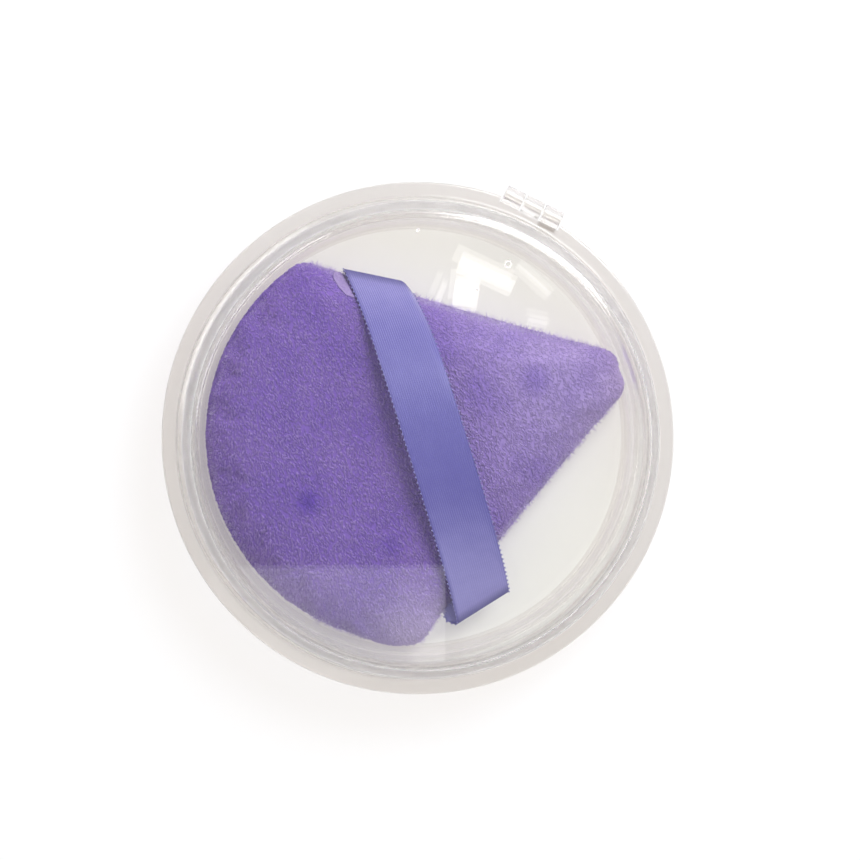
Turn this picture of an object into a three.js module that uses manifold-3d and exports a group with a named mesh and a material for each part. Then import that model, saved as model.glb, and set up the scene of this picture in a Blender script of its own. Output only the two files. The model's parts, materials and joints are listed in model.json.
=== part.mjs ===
// A drop-shaped velour powder puff with a finger ribbon, in its round clear case with a hinged lid.
// Millimetres, +Z up. The origin is on the case's axis, at the underside of the base.
// The case lies flat and shut, with its hinge at +Y.

import * as THREE from 'three';
import { mergeVertices } from 'three/addons/utils/BufferGeometryUtils.js';
import Module from 'manifold-3d';

const wasm = await Module();
wasm.setup();

// Puff outline, measured from the centre of its round back. The tip points along the puff's own +X.
const PUFF_ARC_RADIUS = 34;
const PUFF_TIP_REACH = 35.9;
const PUFF_TIP_ROUND = 5.5;
const PUFF_CORNER_ROUND = 4.5;
const PUFF_CORNER_ANGLE = 108.5; // degrees from the tip's direction to where the back meets a corner
const PUFF_SIDE_DRAW = 0.6; // how far a straight side is drawn in at its middle

// Puff section: two crowned panels that meet at a seam
const UPPER_CROWN = 5.5;
const LOWER_CROWN = 4;
const UPPER_FULLNESS = 4; // power of the crown's curve: a higher one is flatter with steeper sides
const LOWER_FULLNESS = 7;
const PANEL_THICKNESS = 1.2;
const CORE_GAP = 0.3;
const THREAD_DIAMETER = 0.4;
const SEAM_INSET = 1.7; // from the puff's edge to the seam's line of thread
const SEAM_CLEARANCE = 0.2;
const SEAM_MARGIN = 0.8; // cloth inside the line of thread

// Where the loose puff lies in the case
const PUFF_TURN = 43.7; // degrees from +X to the tip
const PUFF_SHIFT_ALONG = -0.4;
const PUFF_SHIFT_ACROSS = 0.5;
const PUFF_CLEARANCE = 0.36;
const REST_GAP = 0.3; // under the puff

// Finger ribbon: sewn into the seam at both straight sides, folded outside the edge, arched across the top
const RIBBON_WIDTH = 9.5;
const RIBBON_THICKNESS = 0.3;
const RIBBON_ALONG = 2.8; // middle of the ribbon, from the back's centre towards the tip
const RIBBON_FOLD_RADIUS = 0.8;
const UPPER_FOLD_REACH = 2.1; // how far the fold stands out from the puff's edge
const UPPER_FOLD_SLANT = 26; // degrees that the fold leans from square
const LOWER_FOLD_REACH = 5.45;
const LOWER_FOLD_SLANT = 14.5;
const FINGER_GAP = 5; // free height under the middle of the ribbon
const ARCH_POWER = 2.4;

// Case: two moulded dishes with flanges, the base with a lip that stands inside the lid
const CASE_WALL = 1.2;
const BASE_HEIGHT = 12.5;
const BASE_DRAFT = 0.6;
const LID_DRAFT = 1.4;
const EDGE_ROUND = 2.8;
const FLANGE_WIDTH = 2.4;
const FLANGE_THICKNESS = 1.3;
const PARTING_GAP = 0.3;
const LIP_HEIGHT = 2;
const LIP_WALL = 0.9;
const LIP_CLEARANCE = 0.3;
const HEAD_ROOM = 6.7; // between the ribbon and the lid

// Hinge
const HINGE_WIDTH = 10;
const HINGE_OFFSET = 0.4; // from the flange's rim out to the hinge axis
const KNUCKLE_RADIUS = 1.4;
const KNUCKLE_GAP = 0.3;
const PIN_RADIUS = 0.5;
const PIN_CLEARANCE = 0.15;

// Facet counts
const OUTLINE_STEPS = 56;
const OUTER_RINGS = 7;
const INNER_RINGS = 4;
const THREAD_SIDES = 6;
const RIBBON_STATIONS = 5;
const FOLD_STEPS = 5;
const ARCH_STEPS = 20;
const CASE_SIDES = 64;
const EDGE_STEPS = 4;
const PIN_SIDES = 20;

const COLOURS = {
  clear: { color: 0xeae7e2, roughness: 0.08, metalness: 0, transparent: true, opacity: 0.3 },
  pin: { color: 0xdcd8d2, roughness: 0.2, metalness: 0 },
  velour: { color: 0x8a6bc0, roughness: 0.95, metalness: 0 },
  satin: { color: 0x7f7ac6, roughness: 0.4, metalness: 0 },
  thread: { color: 0x7657b4, roughness: 0.7, metalness: 0 },
  wadding: { color: 0xf3f0f6, roughness: 1, metalness: 0 },
};

const radians = THREE.MathUtils.degToRad;

function named(name, geometry, colour) {
  const mesh = new THREE.Mesh(geometry, new THREE.MeshStandardMaterial(colour));
  mesh.name = name;
  return mesh;
}

// Joins rings of points into a closed skin. The rings start at one pole and end at another, or loop round.
function skin(rings, poles) {
  const sides = rings[0].length;
  const points = rings.flat();
  const faces = [];
  const at = (ring, side) => (ring % rings.length) * sides + (side % sides);
  const joins = poles ? rings.length - 1 : rings.length;
  for (let ring = 0; ring < joins; ring += 1) {
    for (let side = 0; side < sides; side += 1) {
      faces.push(at(ring, side), at(ring + 1, side), at(ring + 1, side + 1));
      faces.push(at(ring, side), at(ring + 1, side + 1), at(ring, side + 1));
    }
  }
  if (poles) {
    const first = points.push(poles[0]) - 1;
    const last = points.push(poles[1]) - 1;
    for (let side = 0; side < sides; side += 1) {
      faces.push(first, at(0, side), at(0, side + 1));
      faces.push(last, at(rings.length - 1, side + 1), at(rings.length - 1, side));
    }
  }
  const geometry = new THREE.BufferGeometry().setFromPoints(points);
  geometry.setIndex(faces);
  geometry.computeVertexNormals();
  return geometry;
}

function toSolid(geometry) {
  const bare = geometry.clone();
  bare.deleteAttribute('normal');
  bare.deleteAttribute('uv');
  const merged = mergeVertices(bare);
  const corners = merged.index.array;
  const kept = [];
  for (let i = 0; i < corners.length; i += 3) {
    const [a, b, c] = corners.slice(i, i + 3);
    if (a !== b && b !== c && c !== a) kept.push(a, b, c);
  }
  const mesh = new wasm.Mesh({
    numProp: 3,
    vertProperties: merged.attributes.position.array,
    triVerts: new Uint32Array(kept),
  });
  return new wasm.Manifold(mesh);
}

function toGeometry(solid) {
  const mesh = solid.getMesh();
  const geometry = new THREE.BufferGeometry();
  geometry.setAttribute('position', new THREE.BufferAttribute(mesh.vertProperties, 3));
  geometry.setIndex(new THREE.BufferAttribute(mesh.triVerts, 1));
  geometry.computeVertexNormals();
  return geometry;
}

// Puff outline: round back, two rounded corners, two drawn-in sides and a blunt tip
function puffOutline() {
  const tipX = PUFF_TIP_REACH - PUFF_TIP_ROUND;
  const cornerTurn = radians(PUFF_CORNER_ANGLE);
  const corner = new THREE.Vector2(Math.cos(cornerTurn), Math.sin(cornerTurn));
  corner.multiplyScalar(PUFF_ARC_RADIUS - PUFF_CORNER_ROUND);
  const span = new THREE.Vector2(corner.x - tipX, corner.y);
  const sideTurn = span.angle() - Math.acos((PUFF_TIP_ROUND - PUFF_CORNER_ROUND) / span.length());
  const facing = new THREE.Vector2(Math.cos(sideTurn), Math.sin(sideTurn));
  const tipEnd = new THREE.Vector2(tipX, 0).addScaledVector(facing, PUFF_TIP_ROUND);
  const cornerEnd = corner.clone().addScaledVector(facing, PUFF_CORNER_ROUND);
  const draw = tipEnd.clone().lerp(cornerEnd, 0.5).addScaledVector(facing, -2 * PUFF_SIDE_DRAW);

  const outline = new THREE.Path();
  outline.absarc(tipX, 0, PUFF_TIP_ROUND, -sideTurn, sideTurn);
  outline.quadraticCurveTo(draw.x, draw.y, cornerEnd.x, cornerEnd.y);
  outline.absarc(corner.x, corner.y, PUFF_CORNER_ROUND, sideTurn, cornerTurn);
  outline.absarc(0, 0, PUFF_ARC_RADIUS, cornerTurn, -cornerTurn);
  outline.absarc(corner.x, -corner.y, PUFF_CORNER_ROUND, -cornerTurn, -sideTurn);
  outline.quadraticCurveTo(draw.x, -draw.y, tipEnd.x, -tipEnd.y);
  return outline.getSpacedPoints(OUTLINE_STEPS).slice(0, OUTLINE_STEPS);
}

const outline = puffOutline();
const puffBottom = CASE_WALL + REST_GAP;
const seamGap = Math.max(THREAD_DIAMETER, RIBBON_THICKNESS) + 2 * SEAM_CLEARANCE;
const seamZ = puffBottom + LOWER_CROWN + seamGap / 2;
const puffTop = seamZ + seamGap / 2 + UPPER_CROWN;
const insetScale = (inset) => 1 - inset / PUFF_ARC_RADIUS;
const rimScale = insetScale(SEAM_INSET + THREAD_DIAMETER / 2 + SEAM_MARGIN);
const coreScale = rimScale - CORE_GAP / PUFF_ARC_RADIUS;

const outlineRing = (scale, z) => outline.map((p) => new THREE.Vector3(p.x * scale, p.y * scale, z));

// Rings of a crown from its middle out to its edge
function crownRings(count, scale, seam, height, fullness) {
  const rings = [];
  for (let i = 1; i <= count; i += 1) {
    const share = Math.sin((i / count) * (Math.PI / 2));
    const rise = i < count ? Math.sqrt(1 - share ** fullness) : 0;
    rings.push(outlineRing(scale * share, seam + height * rise));
  }
  return rings;
}

// One velour panel: a crowned shell whose rim is the cloth turned in at the seam
function panel(side, crown, fullness) {
  const seam = seamZ + (side * seamGap) / 2;
  const inside = side * (crown - PANEL_THICKNESS);
  const outer = crownRings(OUTER_RINGS, 1, seam, side * crown, fullness);
  const inner = crownRings(INNER_RINGS, rimScale, seam, inside, fullness);
  const outerPole = new THREE.Vector3(0, 0, seam + side * crown);
  const innerPole = new THREE.Vector3(0, 0, seam + inside);
  if (side > 0) return skin([...outer, ...inner.reverse()], [outerPole, innerPole]);
  return skin([...inner, ...outer.reverse()], [innerPole, outerPole]);
}

function core() {
  const up = UPPER_CROWN + seamGap / 2 - PANEL_THICKNESS - CORE_GAP;
  const down = -(LOWER_CROWN + seamGap / 2 - PANEL_THICKNESS - CORE_GAP);
  const upper = crownRings(INNER_RINGS, coreScale, seamZ, up, UPPER_FULLNESS);
  const lower = crownRings(INNER_RINGS, coreScale, seamZ, down, LOWER_FULLNESS).reverse();
  const poles = [new THREE.Vector3(0, 0, seamZ + up), new THREE.Vector3(0, 0, seamZ + down)];
  return skin([...upper, ...lower.slice(1)], poles);
}

function seamThread() {
  const rings = [];
  for (let i = 0; i < THREAD_SIDES; i += 1) {
    const turn = (-2 * Math.PI * i) / THREAD_SIDES;
    const out = (Math.cos(turn) * THREAD_DIAMETER) / 2;
    const up = (Math.sin(turn) * THREAD_DIAMETER) / 2;
    rings.push(outlineRing(insetScale(SEAM_INSET - out), seamZ + up));
  }
  return skin(rings);
}

// Distance from the puff's axis out to its edge
function edgeAt(along) {
  const next = (i) => outline[(i + 1) % outline.length];
  const i = outline.findIndex((p, n) => p.y > 0 && p.x >= along && next(n).x < along);
  const share = (outline[i].x - along) / (outline[i].x - next(i).x);
  return THREE.MathUtils.lerp(outline[i].y, next(i).y, share);
}

// Half of the ribbon's middle line at one place across its width, from its sewn end up to the crest
function ribbonHalf(along, reach, slant) {
  const tailScale = insetScale(SEAM_INSET - THREAD_DIAMETER / 2 - 2 * SEAM_CLEARANCE);
  const lean = (along - RIBBON_ALONG) * Math.tan(radians(slant));
  const foldY = edgeAt(RIBBON_ALONG) + reach - lean;
  const centre = new THREE.Vector2(foldY - RIBBON_FOLD_RADIUS, seamZ + RIBBON_FOLD_RADIUS);
  const crestZ = puffTop + FINGER_GAP + RIBBON_THICKNESS / 2;
  const climb = crestZ - centre.y - RIBBON_FOLD_RADIUS;
  const endSlope = Math.atan((ARCH_POWER * climb) / foldY);
  const points = [new THREE.Vector2(edgeAt(along / tailScale) * tailScale, seamZ)];
  for (let i = 0; i <= FOLD_STEPS; i += 1) {
    const turn = THREE.MathUtils.lerp(-Math.PI / 2, Math.PI / 2 - endSlope, i / FOLD_STEPS);
    const round = new THREE.Vector2(Math.cos(turn), Math.sin(turn));
    points.push(round.multiplyScalar(RIBBON_FOLD_RADIUS).add(centre));
  }
  const foot = points.at(-1);
  const archSteps = ARCH_STEPS / 2;
  for (let i = 1; i <= archSteps; i += 1) {
    const y = foot.x * (1 - i / archSteps);
    const rise = 1 - (y / foot.x) ** ARCH_POWER;
    points.push(new THREE.Vector2(y, foot.y + (crestZ - foot.y) * rise));
  }
  return points;
}

function ribbonLine(along) {
  const upper = ribbonHalf(along, UPPER_FOLD_REACH, UPPER_FOLD_SLANT);
  const lower = ribbonHalf(along, LOWER_FOLD_REACH, LOWER_FOLD_SLANT);
  const mirrored = lower.map((p) => new THREE.Vector2(-p.x, p.y)).reverse();
  return [...upper, ...mirrored.slice(1)];
}

// The ribbon's section at each step along its middle line: out across one face and back across the other
function ribbon() {
  const places = [];
  for (let i = 0; i < RIBBON_STATIONS; i += 1) {
    const share = i / (RIBBON_STATIONS - 1) - 0.5;
    places.push(RIBBON_ALONG + share * RIBBON_WIDTH);
  }
  const lines = places.map(ribbonLine);
  const faceAt = (station, step, side) => {
    const line = lines[station];
    const before = line[Math.max(step - 1, 0)];
    const after = line[Math.min(step + 1, line.length - 1)];
    const way = after.clone().sub(before).normalize();
    const off = (side * RIBBON_THICKNESS) / 2;
    const p = line[step];
    return new THREE.Vector3(places[station], p.x + way.y * off, p.y - way.x * off);
  };
  const rings = lines[0].map((_, step) => {
    const front = places.map((__, station) => faceAt(station, step, 1));
    const back = places.map((__, station) => faceAt(station, step, -1));
    return [...front, ...back.reverse()];
  });
  const middle = (ring) => {
    const sum = ring.reduce((total, p) => total.add(p), new THREE.Vector3());
    return sum.divideScalar(ring.length);
  };
  return skin(rings, [middle(rings[0]), middle(rings.at(-1))]);
}

const ribbonGeometry = ribbon();

// The case is sized round the puff and its ribbon
const puffPlace = new THREE.Vector2(PUFF_SHIFT_ALONG, PUFF_SHIFT_ACROSS);
const reachOf = (x, y) => Math.hypot(x + puffPlace.x, y + puffPlace.y);
const ribbonReaches = [];
const ribbonPoints = ribbonGeometry.attributes.position;
for (let i = 0; i < ribbonPoints.count; i += 1) {
  ribbonReaches.push(reachOf(ribbonPoints.getX(i), ribbonPoints.getY(i)));
}
const puffReach = Math.max(...outline.map((p) => reachOf(p.x, p.y)), ...ribbonReaches);

const floorInner = puffReach + PUFF_CLEARANCE;
const lipInner = floorInner + BASE_DRAFT;
const lipOuter = lipInner + LIP_WALL;
const lidInner = lipOuter + LIP_CLEARANCE;
const lidOuter = lidInner + CASE_WALL;
const rimRadius = lidOuter + FLANGE_WIDTH;
const ribbonTop = puffTop + FINGER_GAP + RIBBON_THICKNESS;
const ceiling = ribbonTop + HEAD_ROOM;
const caseTop = ceiling + CASE_WALL;
const innerRound = Math.max(EDGE_ROUND - CASE_WALL, CASE_WALL);
const baseFlangeTop = BASE_HEIGHT - PARTING_GAP / 2;
const lidFlangeUnder = BASE_HEIGHT + PARTING_GAP / 2;
const hingeY = rimRadius + HINGE_OFFSET;

function turned(profile) {
  const geometry = new THREE.LatheGeometry(profile.getPoints(EDGE_STEPS), CASE_SIDES);
  return toSolid(geometry.rotateX(Math.PI / 2));
}

function baseDish() {
  const footOuter = floorInner + CASE_WALL;
  const wallOuter = lipInner + CASE_WALL;
  const flangeUnder = BASE_HEIGHT - FLANGE_THICKNESS;
  const lipTop = BASE_HEIGHT + LIP_HEIGHT;
  const outerLean = (z) => footOuter + ((wallOuter - footOuter) * z) / flangeUnder;
  const innerLean = (z) => floorInner + (BASE_DRAFT * (z - CASE_WALL)) / (lipTop - CASE_WALL);
  const innerStart = CASE_WALL + innerRound;
  const profile = new THREE.Path();
  profile.moveTo(0, 0);
  profile.lineTo(footOuter - EDGE_ROUND, 0);
  profile.quadraticCurveTo(footOuter, 0, outerLean(EDGE_ROUND), EDGE_ROUND);
  profile.lineTo(wallOuter, flangeUnder);
  profile.lineTo(rimRadius, flangeUnder);
  profile.lineTo(rimRadius, baseFlangeTop);
  profile.lineTo(lipOuter, baseFlangeTop);
  profile.lineTo(lipOuter, lipTop);
  profile.lineTo(lipInner, lipTop);
  profile.lineTo(innerLean(innerStart), innerStart);
  profile.quadraticCurveTo(floorInner, CASE_WALL, floorInner - innerRound, CASE_WALL);
  profile.lineTo(0, CASE_WALL);
  return turned(profile);
}

function lidDish() {
  const faceOuter = lidOuter - LID_DRAFT;
  const faceInner = lidInner - LID_DRAFT;
  const flangeTop = BASE_HEIGHT + FLANGE_THICKNESS;
  const seatTop = BASE_HEIGHT + LIP_HEIGHT + LIP_CLEARANCE;
  const outerLean = (z) => faceOuter + (LID_DRAFT * (caseTop - z)) / (caseTop - flangeTop);
  const innerLean = (z) => faceInner + (LID_DRAFT * (ceiling - z)) / (ceiling - seatTop);
  const innerStart = ceiling - innerRound;
  const outerEnd = caseTop - EDGE_ROUND;
  const profile = new THREE.Path();
  profile.moveTo(0, ceiling);
  profile.lineTo(faceInner - innerRound, ceiling);
  profile.quadraticCurveTo(faceInner, ceiling, innerLean(innerStart), innerStart);
  profile.lineTo(lidInner, seatTop);
  profile.lineTo(lidInner, lidFlangeUnder);
  profile.lineTo(rimRadius, lidFlangeUnder);
  profile.lineTo(rimRadius, flangeTop);
  profile.lineTo(lidOuter, flangeTop);
  profile.lineTo(outerLean(outerEnd), outerEnd);
  profile.quadraticCurveTo(faceOuter, caseTop, faceOuter - EDGE_ROUND, caseTop);
  profile.lineTo(0, caseTop);
  return turned(profile);
}

// A round bar along the hinge axis
function hingeBar(radius, length, x = 0) {
  const bar = new THREE.CylinderGeometry(radius, radius, length, PIN_SIDES);
  return bar.rotateZ(Math.PI / 2).translate(x, hingeY, BASE_HEIGHT);
}

function block(low, high) {
  const size = high.clone().sub(low);
  const middle = low.clone().add(high).multiplyScalar(0.5);
  return new THREE.BoxGeometry(size.x, size.y, size.z).translate(middle.x, middle.y, middle.z);
}

const knuckleWidth = (HINGE_WIDTH - 2 * KNUCKLE_GAP) / 3;
const notchY = hingeY - KNUCKLE_RADIUS - KNUCKLE_GAP;
const webY = notchY - FLANGE_WIDTH / 4;

// Room cut from both flanges for the row of knuckles
function hingeNotch() {
  const halfWidth = HINGE_WIDTH / 2 + KNUCKLE_GAP;
  const low = new THREE.Vector3(-halfWidth, notchY, BASE_HEIGHT - 2 * KNUCKLE_RADIUS);
  const high = new THREE.Vector3(halfWidth, hingeY + KNUCKLE_RADIUS, BASE_HEIGHT + 2 * KNUCKLE_RADIUS);
  return toSolid(block(low, high));
}

// A barrel with the web that carries it from its flange
function knuckle(x, webLow, webHigh) {
  const low = new THREE.Vector3(x - knuckleWidth / 2, webY, webLow);
  const high = new THREE.Vector3(x + knuckleWidth / 2, hingeY, webHigh);
  return toSolid(block(low, high)).add(toSolid(hingeBar(KNUCKLE_RADIUS, knuckleWidth, x)));
}

const pinBore = toSolid(hingeBar(PIN_RADIUS + PIN_CLEARANCE, 2 * HINGE_WIDTH));

function caseBase() {
  const step = knuckleWidth + KNUCKLE_GAP;
  const flangeUnder = BASE_HEIGHT - FLANGE_THICKNESS;
  const left = knuckle(-step, flangeUnder, baseFlangeTop);
  const right = knuckle(step, flangeUnder, baseFlangeTop);
  return toGeometry(baseDish().subtract(hingeNotch()).add(left).add(right).subtract(pinBore));
}

function caseLid() {
  const middle = knuckle(0, lidFlangeUnder, BASE_HEIGHT + FLANGE_THICKNESS);
  return toGeometry(lidDish().subtract(hingeNotch()).add(middle).subtract(pinBore));
}

// Assembly
const puff = new THREE.Group();
puff.add(
  named('puff_core', core(), COLOURS.wadding),
  named('velour_upper_panel', panel(1, UPPER_CROWN, UPPER_FULLNESS), COLOURS.velour),
  named('velour_lower_panel', panel(-1, LOWER_CROWN, LOWER_FULLNESS), COLOURS.velour),
  named('seam_thread', seamThread(), COLOURS.thread),
  named('finger_ribbon', ribbonGeometry, COLOURS.satin),
);
const turn = radians(PUFF_TURN);
const place = puffPlace.clone().rotateAround(new THREE.Vector2(), turn);
puff.position.set(place.x, place.y, 0);
puff.rotation.z = turn;

const part = new THREE.Group();
part.add(
  named('case_base', caseBase(), COLOURS.clear),
  named('case_lid', caseLid(), COLOURS.clear),
  named('hinge_pin', hingeBar(PIN_RADIUS, HINGE_WIDTH), COLOURS.pin),
  puff,
);

export default part;
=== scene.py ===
# %% [markdown]
# # A velour powder puff in its clear case
#
# The object is a drop-shaped powder puff, sewn from two velour panels over wadding, with a satin
# ribbon for the fingers. It lies loose in a round clear box whose lid swings on a pin hinge. The
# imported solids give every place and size. This lesson makes the surfaces that the eye sees, piece
# by piece, in metres, in the same frame.

# %% Load the frame
import json
import math

import bmesh
import bpy
import numpy as np
from mathutils import Matrix, Vector

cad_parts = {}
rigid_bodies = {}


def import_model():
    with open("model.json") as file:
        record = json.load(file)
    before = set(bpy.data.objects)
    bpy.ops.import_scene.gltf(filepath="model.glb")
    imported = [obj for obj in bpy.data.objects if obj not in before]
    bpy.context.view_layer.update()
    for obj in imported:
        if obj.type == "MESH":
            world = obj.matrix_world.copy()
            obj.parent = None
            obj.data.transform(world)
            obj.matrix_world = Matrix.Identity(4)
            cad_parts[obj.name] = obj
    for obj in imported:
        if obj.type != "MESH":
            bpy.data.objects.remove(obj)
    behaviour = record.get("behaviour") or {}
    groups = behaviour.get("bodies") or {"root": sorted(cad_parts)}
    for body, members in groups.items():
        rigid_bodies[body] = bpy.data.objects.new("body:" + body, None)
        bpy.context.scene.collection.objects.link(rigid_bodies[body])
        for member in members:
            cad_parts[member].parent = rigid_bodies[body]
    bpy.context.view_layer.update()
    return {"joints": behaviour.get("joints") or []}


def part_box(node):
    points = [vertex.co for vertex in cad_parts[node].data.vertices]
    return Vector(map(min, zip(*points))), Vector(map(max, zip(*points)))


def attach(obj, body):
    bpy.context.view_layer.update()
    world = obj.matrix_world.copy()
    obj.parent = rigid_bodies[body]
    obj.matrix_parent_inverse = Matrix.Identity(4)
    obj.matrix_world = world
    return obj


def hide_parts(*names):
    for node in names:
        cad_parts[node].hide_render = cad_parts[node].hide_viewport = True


for thing in list(bpy.data.objects):
    bpy.data.objects.remove(thing)
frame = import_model()
scene = bpy.context.scene
scene.view_settings.view_transform = "Standard"
MM = 0.001

# %% [markdown]
# ## Small tools
#
# Three things are done again and again: turning a paint code into the linear colour that a shader
# wants, adding a node with its settings and links, and making a plain mesh out of what modifiers or
# a node tree give. Each gets one short function, so the later cells can be read as descriptions of
# the object.

# %% Colours and nodes
def paint(code):
    """The linear colour of an sRGB hex code."""
    shares = [int(code[i : i + 2], 16) / 255 for i in (1, 3, 5)]
    linear = [s / 12.92 if s <= 0.04045 else ((s + 0.055) / 1.055) ** 2.4 for s in shares]
    return (*linear, 1.0)


def add(tree, kind, feeds=None, **settings):
    """Adds a node, sets its properties, and fills its inputs with values or other nodes' outputs."""
    node = tree.nodes.new(kind)
    for name, value in settings.items():
        setattr(node, name, value)
    for name, value in (feeds or {}).items():
        if isinstance(value, bpy.types.NodeSocket):
            tree.links.new(value, node.inputs[name])
        else:
            node.inputs[name].default_value = value
    return node


def new_material(name):
    made = bpy.data.materials.new(name)
    made.use_nodes = True
    made.node_tree.nodes.clear()
    return made, made.node_tree


# %% Meshes
CLOSE = 0.001 * MM  # points nearer than this are one point


def mesh_object(name, points, faces, edges=()):
    mesh = bpy.data.meshes.new(name)
    mesh.from_pydata([tuple(p) for p in points], list(edges), list(faces))
    mesh.update()
    made = bpy.data.objects.new(name, mesh)
    scene.collection.objects.link(made)
    return made


def settle(piece):
    """Makes what the modifiers give the piece's own plain mesh, and removes the modifiers."""
    bpy.context.view_layer.update()
    graph = bpy.context.evaluated_depsgraph_get()
    mesh = bpy.data.meshes.new_from_object(piece.evaluated_get(graph))
    piece.modifiers.clear()
    piece.data = mesh
    mesh.name = piece.name
    return piece


def face_out(piece):
    """Closes doubled points and turns every face outwards."""
    work = bmesh.new()
    work.from_mesh(piece.data)
    bmesh.ops.remove_doubles(work, verts=work.verts, dist=CLOSE)
    bmesh.ops.recalc_face_normals(work, faces=work.faces)
    work.to_mesh(piece.data)
    work.free()
    return piece


def cut(piece, tool, operation):
    """Joins a tool to a piece or cuts it away, and removes the tool."""
    change = piece.modifiers.new("cut", "BOOLEAN")
    change.operation = operation
    change.solver = "EXACT"
    change.object = tool
    settle(piece)
    bpy.data.objects.remove(tool)


def node_tool(name, **inputs):
    """An empty Geometry Nodes tree with named inputs: the tree, its inputs' outputs and its end."""
    tree = bpy.data.node_groups.new(name, "GeometryNodeTree")
    tree.interface.new_socket("Geometry", in_out="INPUT", socket_type="NodeSocketGeometry")
    tree.interface.new_socket("Geometry", in_out="OUTPUT", socket_type="NodeSocketGeometry")
    for label, kind in inputs.items():
        tree.interface.new_socket(label, in_out="INPUT", socket_type="NodeSocket" + kind)
    return tree, add(tree, "NodeGroupInput").outputs, add(tree, "NodeGroupOutput")


def close_tool(tree, end, geometry, material):
    """Ends a tree in real faces with their material."""
    real = add(tree, "GeometryNodeRealizeInstances", {"Geometry": geometry})
    smooth = add(tree, "GeometryNodeSetShadeSmooth", {"Geometry": real.outputs[0]})
    feeds = {"Geometry": smooth.outputs[0], "Material": material}
    painted = add(tree, "GeometryNodeSetMaterial", feeds)
    tree.links.new(painted.outputs[0], end.inputs[0])


def finish_with(piece, material):
    """One material on every face."""
    piece.data.materials.clear()
    piece.data.materials.append(material)
    piece.data.polygons.foreach_set("material_index", [0] * len(piece.data.polygons))
    return piece


def grow(piece, tree, **values):
    """Runs a tree on a piece and keeps the result as its plain mesh."""
    change = piece.modifiers.new(tree.name, "NODES")
    change.node_group = tree
    for socket in tree.interface.items_tree:
        if socket.in_out == "INPUT" and socket.name in values:
            change[socket.identifier] = values[socket.name]
    return finish_with(settle(piece), values["Material"])


# %% [markdown]
# ## The camera
#
# The photograph looks straight at the flat face of the lid, so the camera hangs above the case and
# looks down. Two things fix it. The case's rim is 511 pixels across, which gives the scale at the
# flanges. The lid's face is 12.5 mm nearer than the rim and shows 4 pixels to the right and 2 down
# of it, so the camera stands a little to the left and above. The case is turned on the table: its
# hinge shows at the upper right.

# %% Camera
PHOTO_SIZE = 860
PHOTO_SCALE = 6.23 / MM  # pixels per metre at the flanges
CASE_PIXEL = (418.5, 438.5)  # where the case's axis meets the flanges
IMAGE_TURN = math.radians(26.3)
CAMERA_HEIGHT = 430 * MM
CAMERA_LEFT = 21.4 * MM
CAMERA_UP = 10.7 * MM
SENSOR_WIDTH = 36.0

image_right = Vector((math.cos(IMAGE_TURN), math.sin(IMAGE_TURN), 0))
image_up = Vector((-math.sin(IMAGE_TURN), math.cos(IMAGE_TURN), 0))
hinge = next(j for j in frame["joints"] if j["name"] == "lid_hinge")
hinge_y, hinge_z = hinge["pos_m"][1:]
flange_point = Vector((0, 0, hinge_z))

view_width = PHOTO_SIZE / PHOTO_SCALE
shift_right = (PHOTO_SIZE / 2 - CASE_PIXEL[0]) / PHOTO_SCALE
shift_up = (CASE_PIXEL[1] - PHOTO_SIZE / 2) / PHOTO_SCALE
target = flange_point + image_right * shift_right + image_up * shift_up
eye = flange_point - image_right * CAMERA_LEFT + image_up * CAMERA_UP + Vector((0, 0, CAMERA_HEIGHT))

camera_data = bpy.data.cameras.new("photo_camera")
camera_data.sensor_width = SENSOR_WIDTH
camera_data.lens = SENSOR_WIDTH * (eye - target).length / view_width
camera = bpy.data.objects.new("photo_camera", camera_data)
scene.collection.objects.link(camera)
back = (eye - target).normalized()
right = image_up.cross(back).normalized()
turn = Matrix((right, back.cross(right), back)).transposed()
camera.matrix_world = Matrix.Translation(eye) @ turn.to_4x4()
scene.camera = camera
print("lens", round(camera_data.lens, 1), "mm")


def seen_at(pixel, height):
    """The point at a height above the table that shows at a pixel of the photograph."""
    across = (pixel[0] / PHOTO_SIZE - 0.5) * SENSOR_WIDTH / camera_data.lens
    up = (0.5 - pixel[1] / PHOTO_SIZE) * SENSOR_WIDTH / camera_data.lens
    way = turn @ Vector((across, up, -1))
    return eye + way * ((height - eye.z) / way.z)


# %% [markdown]
# ## Light and table
#
# Clear plastic has almost no colour of its own. It shows by what it mirrors and bends, so the light
# matters as much as the material. A pale sky, brighter round the horizon and towards the upper
# right, lights everything, also under the ribbon. A large soft lamp at the upper right gives the
# bright streaks on the rim and the soft shadow at the lower left, and a narrow one at the upper
# left draws a bright edge there. The table is white where the camera sees it, also through the
# plastic, and most of it is a plain matt surface that keeps the shadow.

# %% Sky
SKY_TOP = 0.42
SKY_RIM = 1.33
SKY_LEAN = 0.35  # how much brighter the sky is on the lamp's side than overhead
KEY_PLACE = (0.2, 0.28, 0.52)  # to the right, up and above, as the photograph shows it
PURE_WHITE = (1, 1, 1, 1)

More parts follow.
